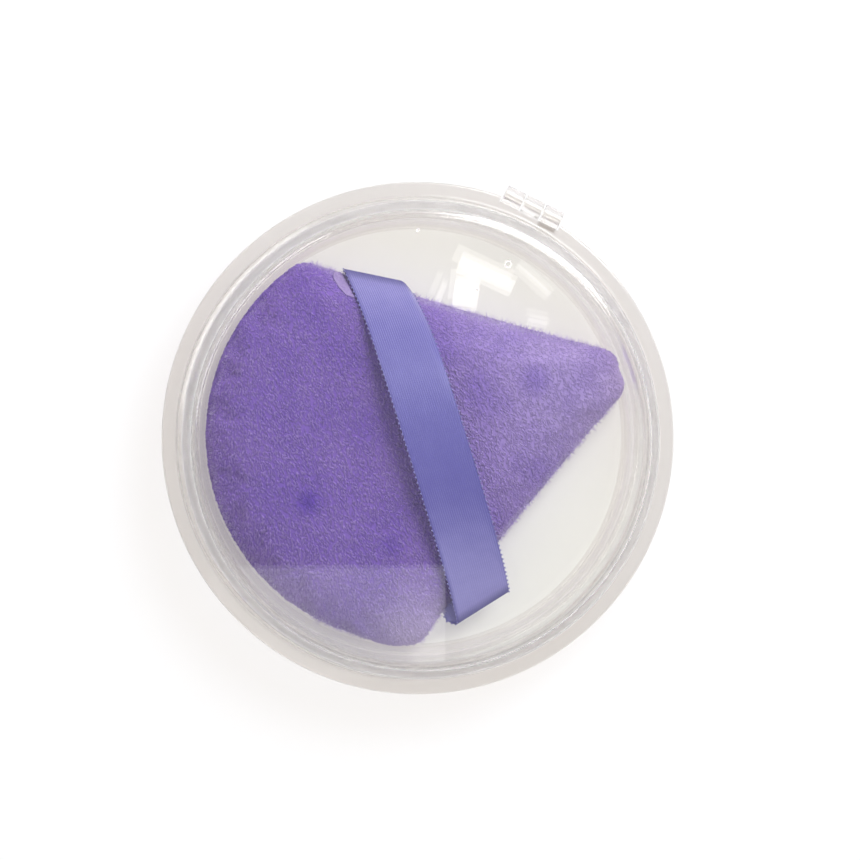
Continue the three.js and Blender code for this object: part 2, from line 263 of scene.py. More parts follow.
sky = bpy.data.worlds.new("pale_sky")
scene.world = sky
sky.use_nodes = True
tree = sky.node_tree
tree.nodes.clear()
path = add(tree, "ShaderNodeLightPath").outputs
way = add(tree, "ShaderNodeTexCoord").outputs["Generated"]
upward = add(tree, "ShaderNodeSeparateXYZ", {0: way}).outputs["Z"]
feeds = {0: upward, 1: 0.0, 2: 1.0, 3: SKY_RIM, 4: SKY_TOP}
bright = add(tree, "ShaderNodeMapRange", feeds).outputs[0]
lamp_side = (image_right * KEY_PLACE[0] + image_up * KEY_PLACE[1]).normalized()
feeds = {0: way, 1: lamp_side}
facing = add(tree, "ShaderNodeVectorMath", feeds, operation="DOT_PRODUCT").outputs["Value"]
feeds = {0: facing, 1: SKY_LEAN, 2: 1.0}
more = add(tree, "ShaderNodeMath", feeds, operation="MULTIPLY_ADD").outputs[0]
uneven = add(tree, "ShaderNodeMath", {0: bright, 1: more}, operation="MULTIPLY").outputs[0]
lit = add(tree, "ShaderNodeBackground", {"Color": paint("#F8F8FA"), "Strength": uneven})
white = add(tree, "ShaderNodeBackground", {"Color": PURE_WHITE, "Strength": 1.0})
feeds = {0: path["Is Camera Ray"], 1: lit.outputs[0], 2: white.outputs[0]}
seen = add(tree, "ShaderNodeMixShader", feeds)
add(tree, "ShaderNodeOutputWorld", {"Surface": seen.outputs[0]})
print("sky from", SKY_TOP, "overhead to", SKY_RIM, "at the horizon")

# %% Lamps
KEY_POWER = 1.95
KEY_SIZE = 0.26
EDGE_BEARING = math.radians(143)  # direction in the photograph
EDGE_TILT = math.radians(17)  # from upright
EDGE_DISTANCE = 0.6
EDGE_LIGHT_SIZE = (0.24, 0.05)
EDGE_LIGHT_GLOW = 6.0


def lamp(name, place, aim, width, height, power):
    """A soft oblong lamp at a place, facing a point, that the camera doesn't see."""
    data = bpy.data.lights.new(name, "AREA")
    data.shape = "RECTANGLE"
    data.size = width
    data.size_y = height
    data.energy = power
    made = bpy.data.objects.new(name, data)
    scene.collection.objects.link(made)
    made.rotation_euler = (aim - place).to_track_quat("-Z", "Y").to_euler()
    made.location = place
    made.visible_camera = False
    return made


key_place = image_right * KEY_PLACE[0] + image_up * KEY_PLACE[1] + Vector((0, 0, KEY_PLACE[2]))
lamp("soft_key", key_place, flange_point, KEY_SIZE, KEY_SIZE, KEY_POWER)
outwards = image_right * math.cos(EDGE_BEARING) + image_up * math.sin(EDGE_BEARING)
edge_way = outwards * math.sin(EDGE_TILT) + Vector((0, 0, math.cos(EDGE_TILT)))
edge_place = flange_point + edge_way * EDGE_DISTANCE
edge_power = math.pi * EDGE_LIGHT_GLOW * EDGE_LIGHT_SIZE[0] * EDGE_LIGHT_SIZE[1]
lamp("edge_light", edge_place, flange_point, *EDGE_LIGHT_SIZE, edge_power)
print("soft lamp", KEY_POWER, "W, edge light", round(edge_power, 3), "W")

# %% Table
TABLE_SIZE = 4.0
TABLE_GLOW = 0.25  # share of the table that is white by itself

matt_white, tree = new_material("matt_white_table")
path = add(tree, "ShaderNodeLightPath").outputs
seen = path["Is Camera Ray"]
for kind in ("Is Glossy Ray", "Is Transmission Ray"):
    seen = add(tree, "ShaderNodeMath", {0: seen, 1: path[kind]}, operation="MAXIMUM").outputs[0]
share = add(tree, "ShaderNodeMath", {0: seen, 1: TABLE_GLOW}, operation="MULTIPLY")
matt = add(tree, "ShaderNodeBsdfDiffuse", {"Color": paint("#FDFDFD")})
glow = add(tree, "ShaderNodeEmission", {"Color": PURE_WHITE, "Strength": 1.0})
feeds = {0: share.outputs[0], 1: matt.outputs[0], 2: glow.outputs[0]}
mixed = add(tree, "ShaderNodeMixShader", feeds)
add(tree, "ShaderNodeOutputMaterial", {"Surface": mixed.outputs[0]})

half = TABLE_SIZE / 2
corners = [(-half, -half, 0), (half, -half, 0), (half, half, 0), (-half, half, 0)]
table = mesh_object("table", corners, [(0, 1, 2, 3)])
table.data.materials.append(matt_white)
print("table", TABLE_SIZE, "m wide")

# %% [markdown]
# ## Clear polystyrene
#
# The case is injection-moulded in clear polystyrene: glossy, stiff and thin, with a faint warm grey
# in its thickness and a skin that is never quite flat. A Principled shader with full transmission
# does this. The whole bend of solid polystyrene, 1.59, traps light in the upright walls and draws
# black rings round the rim. The walls of the real case scatter light and stay pale, so the body
# bends less and a clear coat gives back the gloss. The mould is polished for the flat faces and
# only finely ground for the walls, so these are a little hazy. Rays that only carry light to the
# puff go straight through a tinted Transparent shader, so the puff is lit without caustic noise. A
# slow wave in the bump is the mould's flow.

# %% Clear plastic
FLOW_WAVE = 14 * MM
FLOW_DEPTH = 0.002 * MM
PLASTIC_TINT = "#FDFDFB"
WALL_TINT = "#F1EFED"  # more of the grey shows where the eye looks along a wall
WALL_SHADE = "#FAF8F6"  # what light loses that crosses a wall on its way to the table
WALL_CLEAR = 0.94  # the ground walls scatter a little of the light
WALL_HAZE = 0.3
POLISHED = 0.005
BODY_BEND = 1.27
COAT_BEND = 1.5
CLEAR_RADIUS = 34.4 * MM  # the flat faces are polished up to here
HAZE_RADIUS = 36.4 * MM  # from here out the walls and the flanges are fully hazy


def let_light_through(tree, shine, shade):
    """Ends a clear material: rays that only carry light go straight through, tinted."""
    path = add(tree, "ShaderNodeLightPath").outputs
    through = add(tree, "ShaderNodeBsdfTransparent", {"Color": paint(shade)}).outputs[0]
    surface = shine
    for kind in ("Is Shadow Ray", "Is Diffuse Ray"):
        feeds = {0: path[kind], 1: surface, 2: through}
        surface = add(tree, "ShaderNodeMixShader", feeds).outputs[0]
    add(tree, "ShaderNodeOutputMaterial", {"Surface": surface})


def moulded(name, tint, shade, clear_share, roughness):
    """Clear polystyrene: its tint, its shadow's, how much light passes, and its rim's haze."""
    made, tree = new_material(name)
    place = add(tree, "ShaderNodeTexCoord").outputs["Object"]
    feeds = {"Vector": place, "Scale": 1 / FLOW_WAVE, "Detail": 1.0, "Roughness": 0.4}
    flow = add(tree, "ShaderNodeTexNoise", feeds).outputs["Fac"]
    feeds = {"Height": flow, "Distance": FLOW_DEPTH, "Strength": 1.0}
    wave = add(tree, "ShaderNodeBump", feeds).outputs["Normal"]
    feeds = {0: place, 1: (1, 1, 0)}
    flat = add(tree, "ShaderNodeVectorMath", feeds, operation="MULTIPLY").outputs[0]
    radius = add(tree, "ShaderNodeVectorMath", {0: flat}, operation="LENGTH").outputs["Value"]
    feeds = {0: radius, 1: CLEAR_RADIUS, 2: HAZE_RADIUS, 3: POLISHED, 4: roughness}
    haze = add(tree, "ShaderNodeMapRange", feeds, interpolation_type="SMOOTHSTEP").outputs[0]
    feeds = {
        "Base Color": paint(tint),
        "Roughness": haze,
        "IOR": BODY_BEND,
        "Transmission Weight": clear_share,
        "Coat Weight": 1.0,
        "Coat Roughness": 0.0,
        "Coat IOR": COAT_BEND,
        "Normal": wave,
        "Coat Normal": wave,
    }
    shine = add(tree, "ShaderNodeBsdfPrincipled", feeds).outputs[0]
    let_light_through(tree, shine, shade)
    return made


clear_plastic = moulded("clear_moulded_polystyrene", PLASTIC_TINT, PLASTIC_TINT, 1.0, POLISHED)
wall_plastic = moulded("ground_wall_polystyrene", WALL_TINT, WALL_SHADE, WALL_CLEAR, WALL_HAZE)
print("made", clear_plastic.name, "and", wall_plastic.name)

# %% [markdown]
# ## The two dishes of the case
#
# Base and lid are bodies of revolution: a wall profile turned round the case's axis. The profile
# has the floor or the face, a wall that leans for the mould's draft, the flange, and on the base a
# thin lip that stands inside the lid. One Geometry Nodes tree is the lathe: it makes a grid with
# one column for each side and one row for each point of the profile, and turns every column to its
# angle. Every corner of a moulding is a little round, so the profile is rounded first.

# %% Lathe
CASE_SIDES = 360
CORNER_STEPS = 6


def rounded(corners):
    """The points of a profile whose corners (radius, height, rounding) are rounded off."""
    line = []
    for i, (r, z, rounding) in enumerate(corners):
        here = Vector((r, 0, z))
        if not rounding:
            line.append(here)
            continue
        start, finish = (Vector((corners[n][0], 0, corners[n][1])) - here for n in (i - 1, i + 1))
        start.normalize()
        finish.normalize()
        reach = rounding / math.tan(start.angle(finish) / 2)
        for step in range(CORNER_STEPS + 1):
            t = step / CORNER_STEPS
            line.append(here + start * reach * (1 - t) ** 2 + finish * reach * t**2)
    return line


lathe, sizes, end = node_tool("lathe", Sides="Int", Material="Material")
profile = sizes["Geometry"]
count = add(lathe, "GeometryNodeAttributeDomainSize", {"Geometry": profile}).outputs["Point Count"]
columns = add(lathe, "ShaderNodeMath", {0: sizes["Sides"], 1: 1.0}).outputs[0]
grid = add(lathe, "GeometryNodeMeshGrid", {"Vertices X": columns, "Vertices Y": count}).outputs[0]
index = add(lathe, "GeometryNodeInputIndex").outputs[0]
row = add(lathe, "ShaderNodeMath", {0: index, 1: count}, operation="MODULO").outputs[0]
share = add(lathe, "ShaderNodeMath", {0: index, 1: count}, operation="DIVIDE").outputs[0]
column = add(lathe, "ShaderNodeMath", {0: share}, operation="FLOOR").outputs[0]
feeds = {0: 2 * math.pi, 1: sizes["Sides"]}
step = add(lathe, "ShaderNodeMath", feeds, operation="DIVIDE").outputs[0]
angle = add(lathe, "ShaderNodeMath", {0: column, 1: step}, operation="MULTIPLY").outputs[0]
spot = add(lathe, "GeometryNodeInputPosition").outputs[0]
feeds = {"Geometry": profile, "Value": spot, "Index": row}
settings = {"data_type": "FLOAT_VECTOR", "domain": "POINT"}
taken = add(lathe, "GeometryNodeSampleIndex", feeds, **settings).outputs[0]
feeds = {"Vector": taken, "Angle": angle}
turned = add(lathe, "ShaderNodeVectorRotate", feeds, rotation_type="Z_AXIS").outputs[0]
placed = add(lathe, "GeometryNodeSetPosition", {"Geometry": grid, "Position": turned}).outputs[0]
joined = add(lathe, "GeometryNodeMergeByDistance", {"Geometry": placed, "Distance": CLOSE})
close_tool(lathe, end, joined.outputs[0], sizes["Material"])


def turned_piece(name, corners, material, sides=CASE_SIDES):
    """A closed body of revolution from the corners of its profile."""
    line = rounded(corners)
    piece = mesh_object(name, line, [], [(i, i + 1) for i in range(len(line) - 1)])
    grow(piece, lathe, Sides=sides, Material=material)
    return face_out(piece)


# %% Case profiles
WALL = 1.2 * MM
EDGE_ROUND = 2.8 * MM
INNER_ROUND = 1.6 * MM
BASE_DRAFT = 0.6 * MM
LID_DRAFT = 1.4 * MM
FLANGE_WIDTH = 2.4 * MM
FLANGE_THICKNESS = 1.3 * MM
PARTING_GAP = 0.3 * MM
LIP_HEIGHT = 2.0 * MM
LIP_WALL = 0.9 * MM
LIP_CLEARANCE = 0.3 * MM
RIM_ROUND = 0.4 * MM
FOOT_ROUND = 0.5 * MM
LIP_ROUND = 0.25 * MM

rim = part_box("case_base")[1].x
case_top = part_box("case_lid")[1].z
ceiling = case_top - WALL
lid_outer = rim - FLANGE_WIDTH
lid_inner = lid_outer - WALL
lip_outer = lid_inner - LIP_CLEARANCE
lip_inner = lip_outer - LIP_WALL
floor_inner = lip_inner - BASE_DRAFT
lip_top = hinge_z + LIP_HEIGHT
base_flange = (hinge_z - FLANGE_THICKNESS, hinge_z - PARTING_GAP / 2)
lid_flange = (hinge_z + PARTING_GAP / 2, hinge_z + FLANGE_THICKNESS)

base_profile = [
    (0, 0, 0),
    (floor_inner + WALL, 0, EDGE_ROUND),
    (lip_inner + WALL, base_flange[0], FOOT_ROUND),
    (rim, base_flange[0], RIM_ROUND),
    (rim, base_flange[1], RIM_ROUND),
    (lip_outer, base_flange[1], LIP_ROUND),
    (lip_outer, lip_top, LIP_ROUND),
    (lip_inner, lip_top, LIP_ROUND),
    (floor_inner, WALL, INNER_ROUND),
    (0, WALL, 0),
]
lid_profile = [
    (0, ceiling, 0),
    (lid_inner - LID_DRAFT, ceiling, INNER_ROUND),
    (lid_inner, lip_top + LIP_CLEARANCE, LIP_ROUND),
    (lid_inner, lid_flange[0], LIP_ROUND),
    (rim, lid_flange[0], RIM_ROUND),
    (rim, lid_flange[1], RIM_ROUND),
    (lid_outer, lid_flange[1], FOOT_ROUND),
    (lid_outer - LID_DRAFT, case_top, EDGE_ROUND),
    (0, case_top, 0),
]
case_base = turned_piece("clear_base", base_profile, clear_plastic)
case_lid = turned_piece("clear_lid", lid_profile, clear_plastic)
print("base", len(case_base.data.polygons), "faces, lid", len(case_lid.data.polygons), "faces")

# %% [markdown]
# ## Hinge knuckles
#
# The hinge has three knuckles on one pin: the outer two grow from the base's flange and the middle
# one from the lid's. Each is a round barrel with a web, so its outline is drawn in the plane across
# the hinge and pushed along it, and its rims are bevelled. The flanges are notched to give them
# room.

# %% Knuckles
HINGE_WIDTH = 10.0 * MM
KNUCKLE_RADIUS = 1.4 * MM
KNUCKLE_GAP = 0.3 * MM
BORE_RADIUS = 0.65 * MM
PIN_RADIUS = 0.5 * MM
SMALL_BEVEL = 0.12 * MM
BARREL_STEPS = 28
BORE_SIDES = 32

knuckle_width = (HINGE_WIDTH - 2 * KNUCKLE_GAP) / 3
notch_y = hinge_y - KNUCKLE_RADIUS - KNUCKLE_GAP
web_y = notch_y - FLANGE_WIDTH / 4


def prism(name, outline, low, high, to_point, bevel=0.0):
    """A closed body: a flat outline pushed from low to high, with its sharp edges bevelled."""
    count = len(outline)
    points = [to_point(u, v, w) for w in (low, high) for u, v in outline]
    sides = [(i, (i + 1) % count, count + (i + 1) % count, count + i) for i in range(count)]
    ends = [tuple(reversed(range(count))), tuple(range(count, 2 * count))]
    piece = face_out(mesh_object(name, points, sides + ends))
    if bevel:
        edge = piece.modifiers.new("bevel", "BEVEL")
        edge.width = bevel
        edge.segments = 2
        edge.limit_method = "ANGLE"
        settle(piece)
    return piece


def across_hinge(u, v, w):
    """A point u out from the case, v up and w along the hinge."""
    return (w, u, v)


def upright(u, v, w):
    return (u, v, w)


def knuckle(x, side):
    """One barrel with its web, drawn as the lid's and turned over for the base's."""
    near, far = PARTING_GAP / 2, FLANGE_THICKNESS
    first = math.pi - math.asin(far / KNUCKLE_RADIUS)
    last = -math.pi - math.asin(near / KNUCKLE_RADIUS)
    outline = [(web_y, near), (web_y, far)]
    for i in range(BARREL_STEPS + 1):
        turn = first + (last - first) * i / BARREL_STEPS
        outline.append((hinge_y + math.cos(turn) * KNUCKLE_RADIUS, math.sin(turn) * KNUCKLE_RADIUS))
    outline = [(u, hinge_z + side * v) for u, v in outline]
    half = knuckle_width / 2
    return prism("knuckle", outline, x - half, x + half, across_hinge, SMALL_BEVEL)


def notch():
    """What is cut out of a flange to give the knuckles room."""
    half = HINGE_WIDTH / 2 + KNUCKLE_GAP
    outer_y = hinge_y + KNUCKLE_RADIUS
    outline = [(-half, notch_y), (half, notch_y), (half, outer_y), (-half, outer_y)]
    low, high = hinge_z - 2 * KNUCKLE_RADIUS, hinge_z + 2 * KNUCKLE_RADIUS
    return prism("notch", outline, low, high, upright)


def bar(name, radius, half_length, bevel=0.0):
    """A round bar along the hinge axis."""
    turns = [2 * math.pi * i / BORE_SIDES for i in range(BORE_SIDES)]
    outline = [(hinge_y + math.cos(t) * radius, hinge_z + math.sin(t) * radius) for t in turns]
    return prism(name, outline, -half_length, half_length, across_hinge, bevel)


for dish in (case_base, case_lid):
    cut(dish, notch(), "DIFFERENCE")
for x in (-knuckle_width - KNUCKLE_GAP, knuckle_width + KNUCKLE_GAP):
    cut(case_base, knuckle(x, -1), "UNION")
cut(case_lid, knuckle(0, 1), "UNION")
for dish in (case_base, case_lid):
    cut(dish, bar("bore", BORE_RADIUS, HINGE_WIDTH), "DIFFERENCE")
print("base", len(case_base.data.polygons), "faces, lid", len(case_lid.data.polygons), "faces")

# %% Shading of the mouldings
SHARP_ANGLE = math.radians(40)


def smooth_moulding(piece):
    """Smooth shading that keeps flat faces flat and hard edges hard."""
    piece.data.materials.clear()
    piece.data.shade_smooth()
    piece.data.set_sharp_from_angle(angle=SHARP_ANGLE)
    even = piece.modifiers.new("even_flats", "WEIGHTED_NORMAL")
    even.keep_sharp = True
    return settle(piece)


for dish in (case_base, case_lid):
    smooth_moulding(dish)
    dish.data.materials.append(clear_plastic)
    dish.data.materials.append(wall_plastic)
    out_at = [math.hypot(face.center.x, face.center.y) for face in dish.data.polygons]
    dish.data.polygons.foreach_set("material_index", [int(r > CLEAR_RADIUS) for r in out_at])
hinge_pin = smooth_moulding(bar("hinge_rod", PIN_RADIUS, HINGE_WIDTH / 2, SMALL_BEVEL))

# %% Plastic of the pin
# Clear rod drawn through a die: its skin has fine lines along it, so it is a little duller than
# the mouldings.
DIE_LINES = 0.4 * MM
DIE_STRETCH = (0.1, 1, 1)  # the lines run along the hinge
ROD_DULL = (0.08, 0.2)
ROD_BEND = 1.3

drawn_plastic, tree = new_material("clear_drawn_rod")
place = add(tree, "ShaderNodeTexCoord").outputs["Object"]
stretch = add(tree, "ShaderNodeMapping", {"Vector": place, "Scale": DIE_STRETCH}).outputs[0]
feeds = {"Vector": stretch, "Scale": 1 / DIE_LINES, "Detail": 2.0}
streak = add(tree, "ShaderNodeTexNoise", feeds).outputs["Fac"]
dull = add(tree, "ShaderNodeMapRange", {0: streak, 3: ROD_DULL[0], 4: ROD_DULL[1]}).outputs[0]
feeds = {
    "Base Color": paint(PLASTIC_TINT),
    "Roughness": dull,
    "IOR": ROD_BEND,
    "Transmission Weight": 1.0,
}
shine = add(tree, "ShaderNodeBsdfPrincipled", feeds).outputs[0]
let_light_through(tree, shine, PLASTIC_TINT)
finish_with(hinge_pin, drawn_plastic)
print("pin", len(hinge_pin.data.polygons), "faces")

# %% [markdown]
# ## What the lid mirrors
#
# The polished face of the lid mirrors the room: the panes of a window at the upper right, a thin
# gap of light beside them, and a white board whose straight edge crosses the puff. Small lamps take
# their places. Each is hung where the mirror image of its place in the photograph would be, so the
# lid itself draws the reflection, and other views show it where a real one would be.

# %% Window panes and white board
MIRROR_HEIGHT = 600 * MM
PANES = [  # middle in the photograph, size in its pixels, turn in degrees, and brightness
    ("upper_pane", (489, 268), (62, 18), -25, 2.1),
    ("lower_pane", (468, 288), (26, 30), -8, 2.1),
    ("side_gap", (442, 286), (6, 24), -22, 1.4),
    ("far_pane", (538, 274), (46, 11), -42, 1.2),
    ("low_gap", (543, 317), (22, 8), -12, 1.2),
    ("white_board", (318, 640), (256, 136), 0, 0.75),
]


def hang_mirrored(name, pixel, size, turn_degrees, glow):
    """A small lamp that the lid's face mirrors at a pixel of the photograph."""
    hit = seen_at(pixel, case_top)
    way = hit - eye
    reach = MIRROR_HEIGHT / -way.z
    place = hit + Vector((way.x, way.y, -way.z)) * reach
    pixel_size = (1 + reach) * (eye - hit).length / (camera_data.lens / SENSOR_WIDTH * PHOTO_SIZE)
    width, height = (n * pixel_size for n in size)
    power = math.pi * glow * width * height
    pane = lamp(name, place, place - Vector((0, 0, 1)), width, height, power)
    pane.rotation_euler = (0, 0, IMAGE_TURN + math.radians(turn_degrees))


for pane in PANES:
    hang_mirrored(*pane)
print("the lid mirrors", len(PANES), "lights")

# %% [markdown]
# ## The puff's outline
#
# The puff is a drop: a round back, two rounded corners, two straight sides that are drawn in a
# little where the stitching pulls them, and a blunt tip. The lower corner is turned more sharply
# than the upper one and stands out a little. The outline is drawn in the puff's own frame with its
# tip along +X, and laid in the case by one turn and one shift. Points are spread evenly along it,
# so the panels' mesh is even too.

# %% Puff outline
PUFF_ARC = 34 * MM
TIP_REACH = 35.9 * MM
TIP_ROUND = 5.5 * MM
CORNER_ROUNDS = (3.8 * MM, 2.8 * MM)  # upper and lower corner in the photograph
PUFF_CORNER_ANGLE = math.radians(108.5)
SIDE_DRAW = 0.3 * MM
TIP_FLAT = (0.05, 0.08)  # how much the tip is pressed in, and its shoulders stand out
CORNER_OUT = 0.55 * MM  # how far the lower corner stands out
CORNER_BEARING = math.radians(113)  # where it does so, from the tip
CORNER_SPREAD = math.radians(8)
PUFF_TURN = math.radians(43.7)
PUFF_SHIFT = (-0.4 * MM, 0.5 * MM)
OUTLINE_POINTS = 176
CURVE_STEPS = 60

turn_cos, turn_sin = math.cos(PUFF_TURN), math.sin(PUFF_TURN)
lean = np.array([[turn_cos, -turn_sin], [turn_sin, turn_cos]])


def in_case(points):
    """Points of the puff's own frame, laid in the case."""
    placed = np.array(points, float).reshape(-1, 3)
    placed[:, :2] = (placed[:, :2] + PUFF_SHIFT) @ lean.T
    return placed


def arc(centre, radius, first, last):
    turns = np.linspace(first, last, CURVE_STEPS)
    return np.array(centre) + radius * np.stack([np.cos(turns), np.sin(turns)], 1)


def half_outline(corner_round):
    """One side of the puff in its own frame, from the tip over a corner to the middle of the back."""
    tip = np.array([TIP_REACH - TIP_ROUND, 0.0])
    corner_way = np.array([math.cos(PUFF_CORNER_ANGLE), math.sin(PUFF_CORNER_ANGLE)])
    corner = corner_way * (PUFF_ARC - corner_round)
    span = corner - tip
    taper = math.acos((TIP_ROUND - corner_round) / np.linalg.norm(span))
    side = math.atan2(span[1], span[0]) - taper
    facing = np.array([math.cos(side), math.sin(side)])
    start, finish = tip + facing * TIP_ROUND, corner + facing * corner_round
    pulled = (start + finish) / 2 - 2 * SIDE_DRAW * facing
    t = np.linspace(0, 1, CURVE_STEPS)[:, None]
    straight = start * (1 - t) ** 2 + 2 * pulled * t * (1 - t) + finish * t**2
    blunt = arc(tip, TIP_ROUND, 0, side) - tip
    share = np.linspace(0, math.pi, CURVE_STEPS)
    blunt *= (1 - TIP_FLAT[0] * np.cos(share / 2) ** 2 + TIP_FLAT[1] * np.sin(share) ** 2)[:, None]
    bend = arc(corner, corner_round, side, PUFF_CORNER_ANGLE)
    round_back = arc((0, 0), PUFF_ARC, PUFF_CORNER_ANGLE, math.pi)
    return np.concatenate([tip + blunt, straight, bend, round_back])


def puff_outline():
    """Evenly spread points round the puff, from the tip, in its own frame."""
    upper, lower = (half_outline(corner_round) for corner_round in CORNER_ROUNDS)
    off = np.arctan2(lower[:, 1], lower[:, 0]) - CORNER_BEARING
    bulge = CORNER_OUT * np.exp(-((off / CORNER_SPREAD) ** 2))
    lower *= (1 + bulge / np.linalg.norm(lower, axis=1))[:, None]
    loop = np.concatenate([upper, lower[::-1] * [1, -1]])
    far = np.concatenate([[0], np.cumsum(np.linalg.norm(np.diff(loop, axis=0), axis=1))])
    even = np.linspace(0, far[-1], OUTLINE_POINTS, endpoint=False)
    return np.stack([np.interp(even, far, loop[:, axis]) for axis in (0, 1)], 1)


outline = puff_outline()
print("puff outline", np.ptp(outline, axis=0) / MM, "mm")

# %% [markdown]
# ## Velour panels
#
# Two panels are sewn edge to edge over the wadding, so the puff is a cushion: crowned above and
# below, with a seam round its waist. A blank with that form is stuffed in a short cloth simulation:
# air pressure swells it, the cloth is cut a little large, and the seam holds its edge, which gives
# the small uneven puckers of a sewn pad. The blank is simulated ten times too large, because the
# solver is made for furniture and clothes, and the points may move only a fraction of a millimetre,
# so the pad still lies where its solid is. The panels are smaller than the solids by the height of
# the pile, which is planted on them afterwards.

# %% Panel blank
PILE_HEIGHT = 0.35 * MM
SEAM_GAP = 0.4 * MM
PANEL_THICKNESS = 1.0 * MM
RIM_INSET = 2.4 * MM
UPPER_FULLNESS = 4.0
LOWER_FULLNESS = 7.0
PANEL_RINGS = 26
LINING_RINGS = 8

seam_z = (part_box("velour_upper_panel")[0].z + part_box("velour_lower_panel")[1].z) / 2
upper_seam, lower_seam = seam_z + SEAM_GAP / 2, seam_z - SEAM_GAP / 2
upper_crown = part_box("velour_upper_panel")[1].z - PILE_HEIGHT - upper_seam
lower_crown = lower_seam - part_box("velour_lower_panel")[0].z - PILE_HEIGHT


def crown(count, inset, start, height, fullness):
    """Rings of a crown from near its middle out to its edge, each a scaled outline."""
    rings = []
    for i in range(1, count + 1):
        share = math.sin(i / count * math.pi / 2)
        z = start + height * math.sqrt(max(0.0, 1 - share**fullness))
        ring = outline * share * (1 - inset / PUFF_ARC)
        rings.append(np.column_stack([ring, np.full(len(ring), z)]))
    return rings


def skin(rings):
    """Points and faces of a closed skin from one pole over the rings to the other pole."""
    sides = len(rings[0])
    first, last = rings[0].mean(0), rings[-1].mean(0)
    points = np.concatenate([[first], *rings, [last]])

    def at(ring, side):
        return 1 + ring * sides + side % sides

    faces = [(0, at(0, s), at(0, s + 1)) for s in range(sides)]
    for ring in range(len(rings) - 1):
        for s in range(sides):
            faces.append((at(ring, s), at(ring + 1, s), at(ring + 1, s + 1), at(ring, s + 1)))
    final = len(rings) - 1
    faces += [(len(points) - 1, at(final, s + 1), at(final, s)) for s in range(sides)]
    return points, faces


upper_rings = crown(PANEL_RINGS, PILE_HEIGHT, upper_seam, upper_crown, UPPER_FULLNESS)
lower_rings = crown(PANEL_RINGS, PILE_HEIGHT, lower_seam, -lower_crown, LOWER_FULLNESS)
blank_points, blank_faces = skin(upper_rings + lower_rings[::-1])
print("blank", len(blank_faces), "faces")

# %% Stuffing
STUFF_SCALE = 10
STUFF_FRAMES = 16
STUFF_MOST = 0.5 * MM
PRESSED_PILE = 0.45 * MM  # what is left between the cloth and the floor of the case
CLOTH = {
    "quality": 6,
    "mass": 0.15,
    "tension_stiffness": 12,
    "compression_stiffness": 12,
    "shear_stiffness": 5,
    "bending_stiffness": 0.6,
    "use_pressure": True,
    "uniform_pressure_force": 1.5,
    "shrink_min": -0.02,  # the cloth is cut a little large
    "vertex_group_mass": "seam",
}


def stuffed(points, faces, held):
    """The points of a cushion after its cloth has swollen, none moved by more than the limit."""
    blank = mesh_object("puff_blank", points * STUFF_SCALE, faces)
    blank.vertex_groups.new(name="seam").add(held, 1.0, "REPLACE")
    cloth = blank.modifiers.new("stuffing", "CLOTH")
    for name, value in CLOTH.items():
        setattr(cloth.settings, name, value)
    cloth.settings.effector_weights.gravity = 0
    cloth.collision_settings.use_collision = False
    cloth.point_cache.frame_end = STUFF_FRAMES
    for number in range(1, STUFF_FRAMES + 1):
        scene.frame_set(number)
    settled = blank.evaluated_get(bpy.context.evaluated_depsgraph_get()).to_mesh()
    swollen = np.array([v.co for v in settled.vertices]) / STUFF_SCALE
    bpy.data.objects.remove(blank)
    scene.frame_set(1)
    move = swollen - points
    length = np.maximum(np.linalg.norm(move, axis=1, keepdims=True), 1e-9)
    print("stuffing moved the cloth", length.mean() / MM, "to", length.max() / MM, "mm")
    return points + move * np.minimum(1.0, STUFF_MOST / length)


first_seam = 1 + (PANEL_RINGS - 1) * OUTLINE_POINTS
held = list(range(first_seam, first_seam + 2 * OUTLINE_POINTS))
blank_points = stuffed(blank_points, blank_faces, held)
blank_points[:, 2] = np.maximum(blank_points[:, 2], WALL + PRESSED_PILE)
top = 1 + PANEL_RINGS * OUTLINE_POINTS
upper_skin = blank_points[1:top].reshape(PANEL_RINGS, OUTLINE_POINTS, 3)
lower_skin = blank_points[top:-1].reshape(PANEL_RINGS, OUTLINE_POINTS, 3)[::-1]

# %% Velour
# Polyester velour, knitted and cropped to a short pile: matt and soft. Painted shade darkens each
# tuft towards its root, between the tufts. Painted light makes it paler towards the tip, at the
# edges of the front half and at the lower corner, and painted shade darkens it where the round
# back curves under, away from the light. It is darker where the pile has been pressed.
SMUDGES = [  # where the pile has been pressed, in the photograph, its size and how much
    ((308, 502), 4.0 * MM, 0.85),
    ((390, 546), 4.0 * MM, 0.45),
    ((478, 384), 4.5 * MM, 0.3),
    ((536, 380), 4.5 * MM, 0.4),
]
VAGUE_SIZE = 9 * MM  # of the darker patches all over
VAGUE_MOST = 0.28
GAP_TOP = 0.6  # up to this share of its height a tuft is painted in shade
# painted shade: how much darker a tuft is painted at its root, between the tufts
GAP_PAINTED_SHADE = 0.35
# painted light: how much paler the front is painted towards the tip
TIP_PAINTED_LIGHT = 0.57
TIP_FADE = (-0.3, 1.05)  # where that starts and is full, along the puff
# painted sheen: how much paler the edges of the front half are painted
EDGE_PAINTED_SHEEN = 0.85
RIM_PILE = 0.45  # height of the pile at the seam, as a share
BACK_PAINTED_SHADE = 0.12  # painted shade: how dark the pile is painted where the round back curves under
BACK_RIM = (0.85, 0.5)  # shares of the pile between which it does
FRONT = (-0.45, 0.1)  # where the back ends and the front starts, along the puff
LIT_CORNER_PIXEL = (412, 634)  # painted light: the lower corner is painted paler
LIT_CORNER_SIZE = 13 * MM
CORNER_PAINTED_LIGHT = 0.78

puff_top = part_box("velour_upper_panel")[1].z
tip_way = Vector((turn_cos, turn_sin, 0)) / PUFF_ARC


